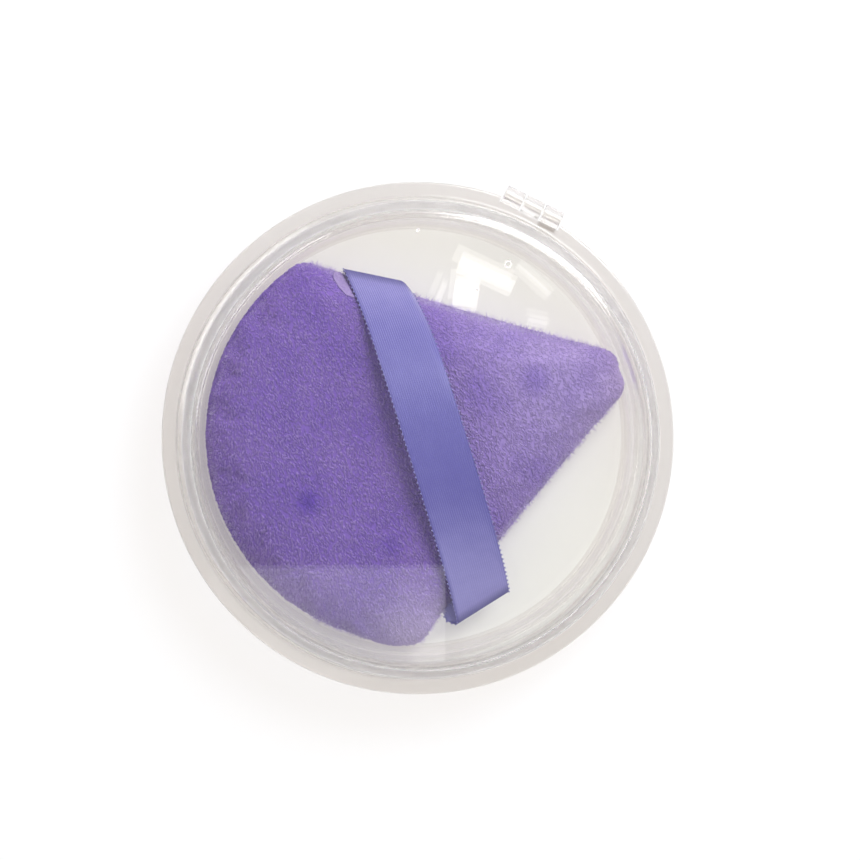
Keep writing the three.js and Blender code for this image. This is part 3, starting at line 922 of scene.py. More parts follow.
def patch(tree, place, pixel, level, size, most):
    """A round patch of cloth, strongest at what shows at a pixel of the photograph."""
    feeds = {0: place, 1: seen_at(pixel, level)}
    away = add(tree, "ShaderNodeVectorMath", feeds, operation="DISTANCE").outputs["Value"]
    feeds = {0: away, 1: 0.0, 2: size, 3: most, 4: 0.0}
    return add(tree, "ShaderNodeMapRange", feeds, interpolation_type="SMOOTHSTEP").outputs[0]


velour, tree = new_material("purple_short_pile_velour")
place = add(tree, "ShaderNodeTexCoord").outputs["Object"]
shade, height, pile = (
    add(tree, "ShaderNodeAttribute", attribute_name=name).outputs["Fac"]
    for name in ("tuft_shade", "tuft_height", "pile")
)
# Painted shade: each tuft is painted darker towards its root, between the tufts.
feeds = {0: height, 1: 0.0, 2: GAP_TOP, 3: GAP_PAINTED_SHADE, 4: 0.0}
depth = add(tree, "ShaderNodeMapRange", feeds).outputs[0]
feeds = {0: place, 1: tip_way}
along = add(tree, "ShaderNodeVectorMath", feeds, operation="DOT_PRODUCT").outputs["Value"]
forward = add(tree, "ShaderNodeMapRange", {0: along, 1: FRONT[0], 2: FRONT[1]}).outputs[0]
rear = add(tree, "ShaderNodeMath", {0: 1.0, 1: forward}, operation="SUBTRACT").outputs[0]
# Painted shade where the round back curves under, at the rear of the puff.
feeds = {0: pile, 1: BACK_RIM[0], 2: BACK_RIM[1], 3: 0.0, 4: BACK_PAINTED_SHADE}
low = add(tree, "ShaderNodeMapRange", feeds).outputs[0]
painted_back_shade = add(tree, "ShaderNodeMath", {0: low, 1: rear}, operation="MULTIPLY").outputs[0]
# Painted sheen: the edges of the front half are painted paler, where the pile is low.
feeds = {0: pile, 1: 1.0, 2: RIM_PILE, 3: 0.0, 4: EDGE_PAINTED_SHEEN}
rim_share = add(tree, "ShaderNodeMapRange", feeds).outputs[0]
edge = add(tree, "ShaderNodeMath", {0: rim_share, 1: forward}, operation="MULTIPLY").outputs[0]

# %% Painted light and pressed velour
# Painted light: paler towards the tip, at the lower corner and at the edges of the front half.
feeds = {0: along, 1: TIP_FADE[0], 2: TIP_FADE[1], 3: 0.0, 4: TIP_PAINTED_LIGHT}
painted_light = add(tree, "ShaderNodeMapRange", feeds, interpolation_type="SMOOTHSTEP").outputs[0]
for painted_lighting in (patch(tree, place, LIT_CORNER_PIXEL, seam_z, LIT_CORNER_SIZE, CORNER_PAINTED_LIGHT), edge):
    feeds = {0: painted_light, 1: painted_lighting}
    painted_light = add(tree, "ShaderNodeMath", feeds, operation="MAXIMUM").outputs[0]
feeds = {"Vector": place, "Scale": 1 / VAGUE_SIZE, "Detail": 2.0}
vague = add(tree, "ShaderNodeTexNoise", feeds).outputs["Fac"]
feeds = {0: vague, 1: 0.4, 2: 0.7, 3: 0.0, 4: VAGUE_MOST}
pressed = add(tree, "ShaderNodeMapRange", feeds).outputs[0]
for pixel, size, most in SMUDGES:
    feeds = {0: pressed, 1: patch(tree, place, pixel, puff_top, size, most)}
    pressed = add(tree, "ShaderNodeMath", feeds, operation="MAXIMUM").outputs[0]
colour = paint("#9375CD")
for share, code in (
    (shade, "#AF95E1"),  # pale clumps
    (depth, "#6A44B2"),  # painted shade in the gaps between the tufts
    # painted light towards the tip, at the lower corner and at the front edges
    (painted_light, "#CBBDE8"),
    (pressed, "#6540BE"),
    # painted shade where the round back curves under
    (painted_back_shade, "#3B2A6B"),
):
    feeds = {0: share, 6: colour, 7: paint(code)}
    colour = add(tree, "ShaderNodeMix", feeds, data_type="RGBA").outputs[2]
feeds = {
    "Base Color": colour,
    "Roughness": 0.95,
    "Specular IOR Level": 0.2,
    "Sheen Weight": 0.35,
    "Sheen Roughness": 0.35,
    "Sheen Tint": paint("#C7B2F0"),
}
shine = add(tree, "ShaderNodeBsdfPrincipled", feeds)
add(tree, "ShaderNodeOutputMaterial", {"Surface": shine.outputs[0]})
print("velour with", len(SMUDGES), "pressed places")

# %% Panels from their skins
RIM_PILE_RINGS = 6


def panel(name, outer, start, height, fullness):
    """A closed panel: the outer skin, its edge turned in at the seam, and the lining side."""
    lining = crown(LINING_RINGS, RIM_INSET, start, height, fullness)
    points, faces = skin(list(outer) + lining[::-1])
    piece = face_out(mesh_object(name, in_case(points), faces))
    share = np.zeros(len(points))
    share[: 1 + PANEL_RINGS * OUTLINE_POINTS] = 1.0
    for i, rim_share in enumerate(np.linspace(1.0, RIM_PILE, RIM_PILE_RINGS)):
        ring = 1 + (PANEL_RINGS - RIM_PILE_RINGS + i) * OUTLINE_POINTS
        share[ring : ring + OUTLINE_POINTS] = rim_share
    pile_share = piece.data.attributes.new("pile", "FLOAT", "POINT")
    pile_share.data.foreach_set("value", share)
    piece.data.shade_smooth()
    piece.data.materials.append(velour)
    return piece


upper_lining, lower_lining = upper_crown - PANEL_THICKNESS, PANEL_THICKNESS - lower_crown
upper_panel = panel("upper_velour", upper_skin, upper_seam, upper_lining, UPPER_FULLNESS)
lower_panel = panel("lower_velour", lower_skin, lower_seam, lower_lining, LOWER_FULLNESS)
print("panels", len(upper_panel.data.polygons), "faces each")

# %% [markdown]
# ## Pile
#
# Velour is a knit with a short cut pile that leans one way and stands in small clumps. Under the
# light the tips are pale and the gaps between the clumps deep, which is what makes it look soft. A
# Geometry Nodes tree plants small leaning tufts on the panels: points scattered over the cloth,
# each with a thin cone whose way is the cloth's normal pushed along the nap. A noise drawn out
# along the nap decides how high each tuft stands and how pale it is, and the velour material reads
# both.

# %% Pile tree
TUFT_SIDES = 4
GROWS_FROM = 0.2  # no pile grows where its share is less
CLUMP_RANGE = (0.35, 0.65)
STRAY_TONE = 0.15  # how much a tuft differs from its clump
TUFT_RISE = (0.7, 1.15)

inputs = {
    "Density": "Float",
    "Radius": "Float",
    "Length": "Float",
    "Nap": "Vector",
    "Spread": "Float",
    "Turn": "Float",
    "Clumps": "Vector",
    "Seed": "Int",
    "Material": "Material",
}
pile_tool, sizes, end = node_tool("pile", **inputs)
feeds = {"Name": "pile"}
share = add(pile_tool, "GeometryNodeInputNamedAttribute", feeds, data_type="FLOAT").outputs[0]
feeds = {0: share, 1: GROWS_FROM}
grows = add(pile_tool, "ShaderNodeMath", feeds, operation="GREATER_THAN").outputs[0]
feeds = {0: sizes["Density"], 1: grows}
crowd = add(pile_tool, "ShaderNodeMath", feeds, operation="MULTIPLY").outputs[0]
feeds = {"Mesh": sizes["Geometry"], "Density": crowd, "Seed": sizes["Seed"]}
roots = add(pile_tool, "GeometryNodeDistributePointsOnFaces", feeds).outputs

# How high each tuft stands, and how pale it is
spot = add(pile_tool, "GeometryNodeInputPosition").outputs[0]
feeds = {"Vector": spot, "Angle": sizes["Turn"]}
squared = add(pile_tool, "ShaderNodeVectorRotate", feeds, rotation_type="Z_AXIS").outputs[0]
feeds = {0: squared, 1: sizes["Clumps"]}
scaled = add(pile_tool, "ShaderNodeVectorMath", feeds, operation="DIVIDE").outputs[0]
feeds = {"Vector": scaled, "Scale": 1.0, "Detail": 1.0}
noise = add(pile_tool, "ShaderNodeTexNoise", feeds).outputs[0]
feeds = {0: noise, 1: CLUMP_RANGE[0], 2: CLUMP_RANGE[1]}
clump = add(pile_tool, "ShaderNodeMapRange", feeds).outputs[0]
feeds = {"Seed": sizes["Seed"]}
tone = add(pile_tool, "FunctionNodeRandomValue", feeds, data_type="FLOAT").outputs[1]
feeds = {0: STRAY_TONE, 2: clump, 3: tone}
mixed = add(pile_tool, "ShaderNodeMix", feeds, data_type="FLOAT").outputs[0]
feeds = {0: mixed, 3: TUFT_RISE[0], 4: TUFT_RISE[1]}
rise = add(pile_tool, "ShaderNodeMapRange", feeds).outputs[0]
long = add(pile_tool, "ShaderNodeMath", {0: rise, 1: share}, operation="MULTIPLY").outputs[0]
shape = add(pile_tool, "ShaderNodeCombineXYZ", {0: 1.0, 1: 1.0, 2: long}).outputs[0]

# Which way it leans
limits = []
for sign in (-1, 1):
    feeds = {0: (sign, sign, sign), 3: sizes["Spread"]}
    limits.append(add(pile_tool, "ShaderNodeVectorMath", feeds, operation="SCALE").outputs[0])
feeds = {0: limits[0], 1: limits[1], "Seed": sizes["Seed"]}
stray = add(pile_tool, "FunctionNodeRandomValue", feeds, data_type="FLOAT_VECTOR").outputs[0]
feeds = {0: roots["Normal"], 1: sizes["Nap"]}
swept = add(pile_tool, "ShaderNodeVectorMath", feeds).outputs[0]
way = add(pile_tool, "ShaderNodeVectorMath", {0: swept, 1: stray}).outputs[0]
upward = add(pile_tool, "FunctionNodeAlignRotationToVector", {"Vector": way}, axis="Z").outputs[0]

# The tuft itself, with its height and its clump's tone on its points
feeds = {
    "Vertices": TUFT_SIDES,
    "Radius Top": 0.0,
    "Radius Bottom": sizes["Radius"],
    "Depth": sizes["Length"],
}
tuft = add(pile_tool, "GeometryNodeMeshCone", feeds, fill_type="NONE").outputs["Mesh"]
level = add(pile_tool, "ShaderNodeSeparateXYZ", {0: spot}).outputs["Z"]
feeds = {0: level, 1: sizes["Length"]}
height = add(pile_tool, "ShaderNodeMath", feeds, operation="DIVIDE").outputs[0]
marked = []
points = roots["Points"]
for geometry, name, value in ((tuft, "tuft_height", height), (points, "tuft_shade", mixed)):
    feeds = {"Geometry": geometry, "Name": name, "Value": value}
    settings = {"data_type": "FLOAT", "domain": "POINT"}
    store = add(pile_tool, "GeometryNodeStoreNamedAttribute", feeds, **settings)
    marked.append(store.outputs[0])
feeds = {"Points": marked[1], "Instance": marked[0], "Rotation": upward, "Scale": shape}
planted = add(pile_tool, "GeometryNodeInstanceOnPoints", feeds)
close_tool(pile_tool, end, planted.outputs[0], sizes["Material"])
print("pile tree", len(pile_tool.nodes), "nodes")

# %% Pile
TUFTS = 9.0 / MM**2
TUFT_RADIUS = 0.17 * MM
TUFT_LENGTH = 0.6 * MM
PRESSED_LENGTH = 0.36 * MM  # the puff's weight presses the pile under it
NAP_WAY = (image_right * 0.5 - image_up * 0.87).normalized()
NAP_LEAN = 1.6
NAP_SPREAD = 0.85
TIP_WORN = 0.35  # how much lower the pile is at the tip
CLUMP_SIZE = (0.4 * MM, 0.95 * MM, 0.75 * MM)  # across the nap, along it and up


def plant(name, panel_piece, regrow, **values):
    """Grows tufts on a copy of a panel, after its share of pile is changed point by point."""
    piece = bpy.data.objects.new(name, panel_piece.data.copy())
    scene.collection.objects.link(piece)
    places = np.array([v.co for v in piece.data.vertices])
    share = np.zeros(len(places))
    pile = piece.data.attributes["pile"].data
    pile.foreach_get("value", share)
    pile.foreach_set("value", regrow(share, places))
    grow(piece, pile_tool, Clumps=CLUMP_SIZE, **values)
    print(name, len(piece.data.polygons), "faces")
    return piece


def worn_at_tip(share, places):
    along = places @ np.array(tip_way)
    return share * (1 - TIP_WORN * np.clip(along, 0, 1))


values = {"Density": TUFTS, "Radius": TUFT_RADIUS, "Spread": NAP_SPREAD, "Material": velour}
values |= {"Nap": NAP_WAY * NAP_LEAN, "Turn": -IMAGE_TURN}
upper_pile = plant("upper_pile", upper_panel, worn_at_tip, Length=TUFT_LENGTH, Seed=3, **values)
lower_pile = plant("lower_pile", lower_panel, worn_at_tip, Length=PRESSED_LENGTH, Seed=8, **values)

# %% [markdown]
# ## Stray fibres
#
# Along the cut sides the velour sheds: longer, finer, paler fibres stand out from the edge and make
# it look soft. The same tree plants them, on a copy of the panel whose pile grows only in a band at
# the rim, and not where the puff lies against the case.

# %% Stray fibres
FIBRES = 18.0 / MM**2
FIBRE_RADIUS = 0.045 * MM
FIBRE_LENGTH = 1.2 * MM
FIBRE_SPREAD = 0.9
FREE_RADIUS = 33.6 * MM  # from the case's axis


def end_fibre(tree, pattern, tones, roughness, sheen, relief=0.0):
    """Ends a fibre material: a pattern mixes two tones, and stands out where it has relief."""
    feeds = {0: pattern, 6: paint(tones[0]), 7: paint(tones[1])}
    tone = add(tree, "ShaderNodeMix", feeds, data_type="RGBA").outputs[2]
    feeds = {"Base Color": tone, "Roughness": roughness, "Sheen Weight": sheen}
    if relief:
        bump = add(tree, "ShaderNodeBump", {"Height": pattern, "Distance": relief})
        feeds["Normal"] = bump.outputs[0]
    shine = add(tree, "ShaderNodeBsdfPrincipled", feeds)
    add(tree, "ShaderNodeOutputMaterial", {"Surface": shine.outputs[0]})


def only_at_free_edge(share, places):
    free = (share > 0) & (np.hypot(places[:, 0], places[:, 1]) < FREE_RADIUS)
    return np.where(free, (1 - share) / (1 - RIM_PILE), 0.0)


fibre, tree = new_material("pale_velour_fibre")
shade = add(tree, "ShaderNodeAttribute", attribute_name="tuft_shade").outputs["Fac"]
end_fibre(tree, shade, ("#A78DDA", "#CFC2EE"), roughness=0.9, sheen=0.3)

values = {"Density": FIBRES, "Radius": FIBRE_RADIUS, "Length": FIBRE_LENGTH}
values |= {"Spread": FIBRE_SPREAD, "Nap": (0, 0, 0), "Turn": 0.0, "Seed": 5, "Material": fibre}
fuzz = plant("edge_fibres", upper_panel, only_at_free_edge, **values)

# %% [markdown]
# ## Wadding
#
# The panels hold a pad of polyester wadding. It is hidden in the finished puff, and it is still its
# own soft piece: the same drop form, a little smaller than the lining, with the lumps of teased
# fibre on its surface.

# %% Wadding pad
# Teased polyester fibre: white and quite matt, with soft lumps and swirls.
CORE_GAP = 0.4 * MM
LUMP_SIZE = 3.0 * MM
LUMP_DEPTH = 0.25 * MM
SWIRL_SIZE = 0.5 * MM
SWIRL_DEPTH = 0.2 * MM
CORE_RINGS = 18

wadding, tree = new_material("white_polyester_wadding")
place = add(tree, "ShaderNodeTexCoord").outputs["Object"]
feeds = {"Vector": place, "Scale": 1 / SWIRL_SIZE, "Detail": 4.0, "Distortion": 2.0}
swirls = add(tree, "ShaderNodeTexNoise", feeds).outputs["Fac"]
end_fibre(tree, swirls, ("#D8D4DE", "#FAF8FC"), roughness=1.0, sheen=0.4, relief=SWIRL_DEPTH)

core_less = PANEL_THICKNESS + CORE_GAP + LUMP_DEPTH - SEAM_GAP / 2
core_up, core_down = upper_crown - core_less, lower_crown - core_less
core_inset = RIM_INSET + CORE_GAP
core_rings = crown(CORE_RINGS, core_inset, seam_z, core_up, UPPER_FULLNESS)
core_rings += crown(CORE_RINGS, core_inset, seam_z, -core_down, LOWER_FULLNESS)[-2::-1]
core_points, core_faces = skin(core_rings)
core = face_out(mesh_object("wadding_pad", in_case(core_points), core_faces))
lumps = bpy.data.textures.new("teased_fibre", "CLOUDS")
lumps.noise_scale = LUMP_SIZE
tease = core.modifiers.new("tease", "DISPLACE")
tease.texture = lumps
tease.strength = LUMP_DEPTH
settle(core)
core.data.shade_smooth()
core.data.materials.append(wadding)
print("wadding", len(core.data.polygons), "faces")

# %% [markdown]
# ## Seam stitches
#
# The panels are joined by a line of lockstitch just inside the edge. A Geometry Nodes tree walks
# along the seam and lays one short plump stitch at each step, turned along the line.

# %% Stitches
# Polyester sewing thread: its plies wind round each other, so dark and pale bands cross a stitch.
SEAM_INSET = 1.7 * MM
STITCH_STEP = 2.4 * MM
STITCH_LENGTH = 2.1 * MM
THREAD = 0.4 * MM
TWIST = 0.5 * MM

thread, tree = new_material("twisted_polyester_thread")
place = add(tree, "ShaderNodeTexCoord").outputs["Object"]
feeds = {"Vector": place, "Scale": 1 / TWIST, "Distortion": 1.0}
twist = add(tree, "ShaderNodeTexWave", feeds).outputs["Fac"]
end_fibre(tree, twist, ("#55379A", "#8467C4"), roughness=0.6, sheen=0.3)

inputs = {"Step": "Float", "Length": "Float", "Thickness": "Float", "Material": "Material"}
stitcher, sizes, end = node_tool("lockstitch", **inputs)
line = add(stitcher, "GeometryNodeMeshToCurve", {"Mesh": sizes["Geometry"]}).outputs[0]
feeds = {"Curve": line, "Length": sizes["Step"]}
places = add(stitcher, "GeometryNodeCurveToPoints", feeds, mode="LENGTH").outputs
bead = add(stitcher, "GeometryNodeMeshUVSphere", {"Segments": 8, "Rings": 6, "Radius": 0.5})
feeds = {0: sizes["Thickness"], 1: sizes["Thickness"], 2: sizes["Length"]}
plump = add(stitcher, "ShaderNodeCombineXYZ", feeds).outputs[0]
feeds = {
    "Points": places["Points"],
    "Instance": bead.outputs["Mesh"],
    "Rotation": places["Rotation"],
    "Scale": plump,
}
laid = add(stitcher, "GeometryNodeInstanceOnPoints", feeds)
close_tool(stitcher, end, laid.outputs[0], sizes["Material"])

seam_ring = outline * (1 - SEAM_INSET / PUFF_ARC)
seam_points = in_case(np.column_stack([seam_ring, np.full(OUTLINE_POINTS, seam_z)]))
seam_edges = [(i, (i + 1) % OUTLINE_POINTS) for i in range(OUTLINE_POINTS)]
stitches = mesh_object("seam_stitches", seam_points, [], seam_edges)
values = {"Step": STITCH_STEP, "Length": STITCH_LENGTH, "Thickness": THREAD, "Material": thread}
grow(stitches, stitcher, **values)
print("stitches", len(stitches.data.polygons), "faces")

# %% [markdown]
# ## Finger ribbon
#
# A satin ribbon is caught in the seam at both sides of the puff. It comes out of the seam, folds
# back over itself and arches across the top, so that two fingers go under it. Its middle line has
# three stretches: the tail in the seam, the round fold, and the arch, which is a power curve like a
# bent strip. The fold leans, so the line is drawn anew at each place across the ribbon's width. The
# ribbon is a thin woven sheet with its own map, in metres, that the weave follows.

# %% Ribbon line
RIBBON_WIDTH = 9.5 * MM
RIBBON_THICKNESS = 0.24 * MM
RIBBON_ALONG = 2.8 * MM
FOLD_RADIUS = 0.8 * MM
UPPER_FOLD = (1.75 * MM, math.radians(29))  # how far out, and how far it leans
LOWER_FOLD = (5.45 * MM, math.radians(14.5))
FINGER_GAP = 5.0 * MM
ARCH_POWER = 2.4
TAIL_INSET = 1.1 * MM
TAIL_SKEW = 1.5 * MM  # how far the lower end lies to the side of the arch
CLIPPED_CORNER = (3.5 * MM, 2.0 * MM)  # from the middle, and how far the upper fold turns in there
END_DRIFT = (0.8 * MM, 0.65 * MM)  # how far the upper and the lower end drift to the puff's back
DRIFT_LENGTH = 9 * MM
RIBBON_STATIONS = 25
FOLD_STEPS = 10
ARCH_STEPS = 44
TAIL_STEPS = 6


def edge_at(along):
    """How far from the puff's axis its straight side is, at a place along it."""
    side = outline[outline[:, 1] > 0]
    front = side[np.argmax(side[:, 1]) :: -1]
    return float(np.interp(along, front[:, 0], front[:, 1]))


def ribbon_half(along, fold):
    """Points (across, height) from the sewn end to the crest, at one place across the ribbon."""
    reach, slant = fold
    scale = 1 - TAIL_INSET / PUFF_ARC
    fold_y = edge_at(RIBBON_ALONG) + reach - (along - RIBBON_ALONG) * math.tan(slant)
    if fold is UPPER_FOLD:
        start, depth = CLIPPED_CORNER
        past = max(0.0, along - RIBBON_ALONG - start) / (RIBBON_WIDTH / 2 - start)
        fold_y -= depth * past**2
    centre = np.array([fold_y - FOLD_RADIUS, seam_z + FOLD_RADIUS])
    crest = puff_top + FINGER_GAP + RIBBON_THICKNESS / 2
    end_slope = math.atan(ARCH_POWER * (crest - seam_z - 2 * FOLD_RADIUS) / fold_y)
    tail = np.linspace(edge_at(along / scale) * scale, centre[0], TAIL_STEPS, endpoint=False)
    turns = np.linspace(-math.pi / 2, math.pi / 2 - end_slope, FOLD_STEPS)
    bend = centre + FOLD_RADIUS * np.stack([np.cos(turns), np.sin(turns)], 1)
    foot = bend[-1]
    y = foot[0] * np.linspace(1, 0, ARCH_STEPS // 2 + 1)[1:]
    z = foot[1] + (crest - foot[1]) * (1 - (y / foot[0]) ** ARCH_POWER)
    flat_tail = np.stack([tail, np.full(TAIL_STEPS, seam_z)], 1)
    return np.concatenate([flat_tail, bend, np.stack([y, z], 1)])


def ribbon_line(along):
    upper, lower = ribbon_half(along, UPPER_FOLD), ribbon_half(along, LOWER_FOLD)
    return np.concatenate([upper, lower[-2::-1] * [-1, 1]])


places_across = RIBBON_ALONG + np.linspace(-0.5, 0.5, RIBBON_STATIONS) * RIBBON_WIDTH
middle_lines = np.array([ribbon_line(x) for x in places_across])
ways = np.gradient(middle_lines, axis=1)
ways /= np.linalg.norm(ways, axis=2, keepdims=True)
outward = np.stack([ways[..., 1], -ways[..., 0]], 2)
steps = np.linalg.norm(np.diff(middle_lines, axis=1), axis=2)
ribbon_length = float(steps.sum(1).mean())
print("ribbon", ribbon_length / MM, "mm long")

walked = np.concatenate([[0], np.cumsum(steps.mean(0))])
skew = -END_DRIFT[0] * np.exp(-((walked / DRIFT_LENGTH) ** 2))
skew -= END_DRIFT[1] * np.exp(-(((ribbon_length - walked) / DRIFT_LENGTH) ** 2))
skew[-TAIL_STEPS:] -= TAIL_SKEW
skew[-TAIL_STEPS - FOLD_STEPS : -TAIL_STEPS] -= TAIL_SKEW * np.linspace(0, 1, FOLD_STEPS) ** 2


def ribbon_face(side):
    """One face of the ribbon as rows of points, one row for each place across it."""
    face = middle_lines + outward * side * RIBBON_THICKNESS / 2
    return np.stack([places_across[:, None] + skew, face[..., 0], face[..., 1]], 2)


# %% Satin
# Polyester satin: long shiny warp threads lie side by side, so fine lines run along the ribbon. A
# painted sheen makes it palest where it turns down at both ends, and painted shade darkens its left
# edge and the ends of its folds. The threads are drawn a little coarser than real ones, or they
# wouldn't show.
WARP = 0.34 * MM
WEFT = 0.32 * MM
WEFT_SHOWS = 0.2
WEAVE_TONE = (0.34, 0.12)  # how much the threads show at the upper and at the lower end
WEAVE_DEPTH = 0.02 * MM
SHEEN_LEAST_AT = 0.43  # where the painted sheen is least, as a share of the length
SHEEN_RAMP = (6 * MM, 33 * MM)  # from there, where the painted sheen starts and where it is full
CLOUD_SIZE = 2.5 * MM
CLOUD_TONE = 0.3
EDGE_BAND = 0.55 * MM
# painted shade along the left edge, the side away from the light
EDGE_PAINTED_SHADE = 0.75
# painted shade over the ends of the folds
FOLD_SHADE_STRENGTH = 0.9

satin, tree = new_material("blue_violet_woven_satin")
lay = add(tree, "ShaderNodeUVMap", uv_map="weave").outputs[0]
across, along = add(tree, "ShaderNodeSeparateXYZ", {0: lay}).outputs[:2]
threads = []
for way, spacing in ((across, WARP), (along, WEFT)):
    feeds = {0: way, 1: 2 * math.pi / spacing}
    phase = add(tree, "ShaderNodeMath", feeds, operation="MULTIPLY").outputs[0]
    threads.append(add(tree, "ShaderNodeMath", {0: phase}, operation="SINE").outputs[0])
feeds = {0: threads[1], 1: WEFT_SHOWS, 2: threads[0]}
weave = add(tree, "ShaderNodeMath", feeds, operation="MULTIPLY_ADD").outputs[0]
# Painted sheen: paler towards both ends, where the ribbon turns down.
feeds = {0: along, 1: ribbon_length * SHEEN_LEAST_AT}
signed = add(tree, "ShaderNodeMath", feeds, operation="SUBTRACT").outputs[0]
from_middle = add(tree, "ShaderNodeMath", {0: signed}, operation="ABSOLUTE").outputs[0]
feeds = {0: from_middle, 1: SHEEN_RAMP[0], 2: SHEEN_RAMP[1], 3: -0.05, 4: 0.95}
ends = add(tree, "ShaderNodeMapRange", feeds, interpolation_type="SMOOTHSTEP").outputs[0]
feeds = {"Vector": lay, "Scale": 1 / CLOUD_SIZE, "Detail": 3.0}
cloudy = add(tree, "ShaderNodeTexNoise", feeds).outputs["Fac"]
feeds = {0: cloudy, 1: CLOUD_TONE, 2: -CLOUD_TONE / 2}
shift = add(tree, "ShaderNodeMath", feeds, operation="MULTIPLY_ADD").outputs[0]
feeds = {0: along, 1: 0.0, 2: ribbon_length, 3: WEAVE_TONE[0], 4: WEAVE_TONE[1]}
drawn = add(tree, "ShaderNodeMapRange", feeds).outputs[0]
feeds = {0: weave, 1: drawn, 2: shift}
shift = add(tree, "ShaderNodeMath", feeds, operation="MULTIPLY_ADD").outputs[0]
level = add(tree, "ShaderNodeMath", {0: ends, 1: shift}).outputs[0]
# Painted shade along the left edge.
off = add(tree, "ShaderNodeMath", {0: RIBBON_ALONG, 1: across}, operation="SUBTRACT").outputs[0]
feeds = {0: off, 1: RIBBON_WIDTH / 2 - EDGE_BAND, 2: RIBBON_WIDTH / 2, 3: 0.0, 4: EDGE_PAINTED_SHADE}
painted_edge_shade = add(tree, "ShaderNodeMapRange", feeds).outputs[0]
# Painted shade over the ends of the folds.
fold_shade_share = add(tree, "ShaderNodeAttribute", attribute_name="painted_fold_shade").outputs["Fac"]
painted_lighting = add(tree, "ShaderNodeMath", {0: fold_shade_share, 1: FOLD_SHADE_STRENGTH}, operation="MULTIPLY").outputs[0]
tone = paint("#5550A6")
# painted sheen towards both ends with the threads and cloudy tone, painted shade at left edge and
# folds
for share, code in ((level, "#9490D4"), (painted_edge_shade, "#4E489E"), (painted_lighting, "#423D86")):
    feeds = {0: share, 6: tone, 7: paint(code)}
    tone = add(tree, "ShaderNodeMix", feeds, data_type="RGBA").outputs[2]
ridge = add(tree, "ShaderNodeBump", {"Height": weave, "Distance": WEAVE_DEPTH, "Strength": 0.35})
feeds = {
    "Base Color": tone,
    "Roughness": 0.42,
    "Sheen Weight": 0.2,
    "Sheen Roughness": 0.35,
    "Sheen Tint": paint("#CFCBF2"),
    "Normal": ridge.outputs[0],
}
shine = add(tree, "ShaderNodeBsdfPrincipled", feeds)
add(tree, "ShaderNodeOutputMaterial", {"Surface": shine.outputs[0]})
print("satin with a thread every", WARP / MM, "mm")

# %% Ribbon mesh
FOLD_SHADE_MARKS = [0.3, 0.7, 1.0, 1.0, 1.0, 0.9, 0.1]  # painted shade over the end of a fold, where the satin turns away from the light

front, rear = ribbon_face(1), ribbon_face(-1)
run = middle_lines.shape[1]
shell = np.concatenate([front.reshape(-1, 3), rear.reshape(-1, 3)])
rear_start = RIBBON_STATIONS * run
ribbon_faces = []
for a in range(RIBBON_STATIONS - 1):
    for b in range(run - 1):
        near, far = a * run + b, (a + 1) * run + b
        ribbon_faces.append((near, far, far + 1, near + 1))
        ribbon_faces.append(tuple(rear_start + i for i in (near, near + 1, far + 1, far)))
border = list(range(run))
border += [a * run + run - 1 for a in range(1, RIBBON_STATIONS)]
border += [(RIBBON_STATIONS - 1) * run + b for b in range(run - 2, -1, -1)]
border += [a * run for a in range(RIBBON_STATIONS - 2, 0, -1)]
for i, here in enumerate(border):
    after = border[(i + 1) % len(border)]
    ribbon_faces.append((here, after, rear_start + after, rear_start + here))
ribbon = mesh_object("satin_ribbon", in_case(shell), ribbon_faces)
lengths = np.concatenate([np.zeros((RIBBON_STATIONS, 1)), np.cumsum(steps, axis=1)], 1)
flat_across = np.broadcast_to(places_across[:, None], lengths.shape)
flat_places = np.stack([flat_across, lengths], 2).reshape(-1, 2)
flat_places = np.concatenate([flat_places, flat_places])
weave_map = ribbon.data.uv_layers.new(name="weave")
corner_points = np.zeros(len(ribbon.data.loops), np.int32)
ribbon.data.loops.foreach_get("vertex_index", corner_points)
weave_map.data.foreach_set("uv", flat_places[corner_points].ravel())
# Painted shade over the ends of both folds.
painted_fold_marks = np.zeros(run)
fold_end = TAIL_STEPS + FOLD_STEPS + 1
painted_fold_marks[fold_end - len(FOLD_SHADE_MARKS) : fold_end] = FOLD_SHADE_MARKS
painted_fold_marks = np.maximum(painted_fold_marks, painted_fold_marks[::-1])
painted_fold_shade = ribbon.data.attributes.new("painted_fold_shade", "FLOAT", "POINT")
painted_fold_shade.data.foreach_set("value", np.tile(painted_fold_marks, 2 * RIBBON_STATIONS))
face_out(ribbon)
ribbon.data.shade_smooth()
ribbon.data.set_sharp_from_angle(angle=SHARP_ANGLE)
ribbon.data.materials.append(satin)
print("ribbon", len(ribbon.data.polygons), "faces")

# %% [markdown]
# ## Picot edges
#
# Both edges of the ribbon have a picot: the weft turns back in tiny loops that stand a little out
# of the woven band and show as a finely toothed line. The tree that lays the stitches also walks
# along each edge and sets one small loop at each step.

# %% Picots
PICOT_STEP = 0.9 * MM
PICOT_SIZE = 0.28 * MM
PICOT_REACH = 0.25 * MM  # how far the loops stand out from the woven band
PLY_SIZE = 0.3 * MM
LOOP_LENGTH = 1.3 * PICOT_SIZE

pale_satin, tree = new_material("pale_picot_thread")
place = add(tree, "ShaderNodeTexCoord").outputs["Object"]
ply = add(tree, "ShaderNodeTexNoise", {"Vector": place, "Scale": 1 / PLY_SIZE}).outputs["Fac"]
end_fibre(tree, ply, ("#6C68B2", "#8A86CA"), roughness=0.5, sheen=0.3)

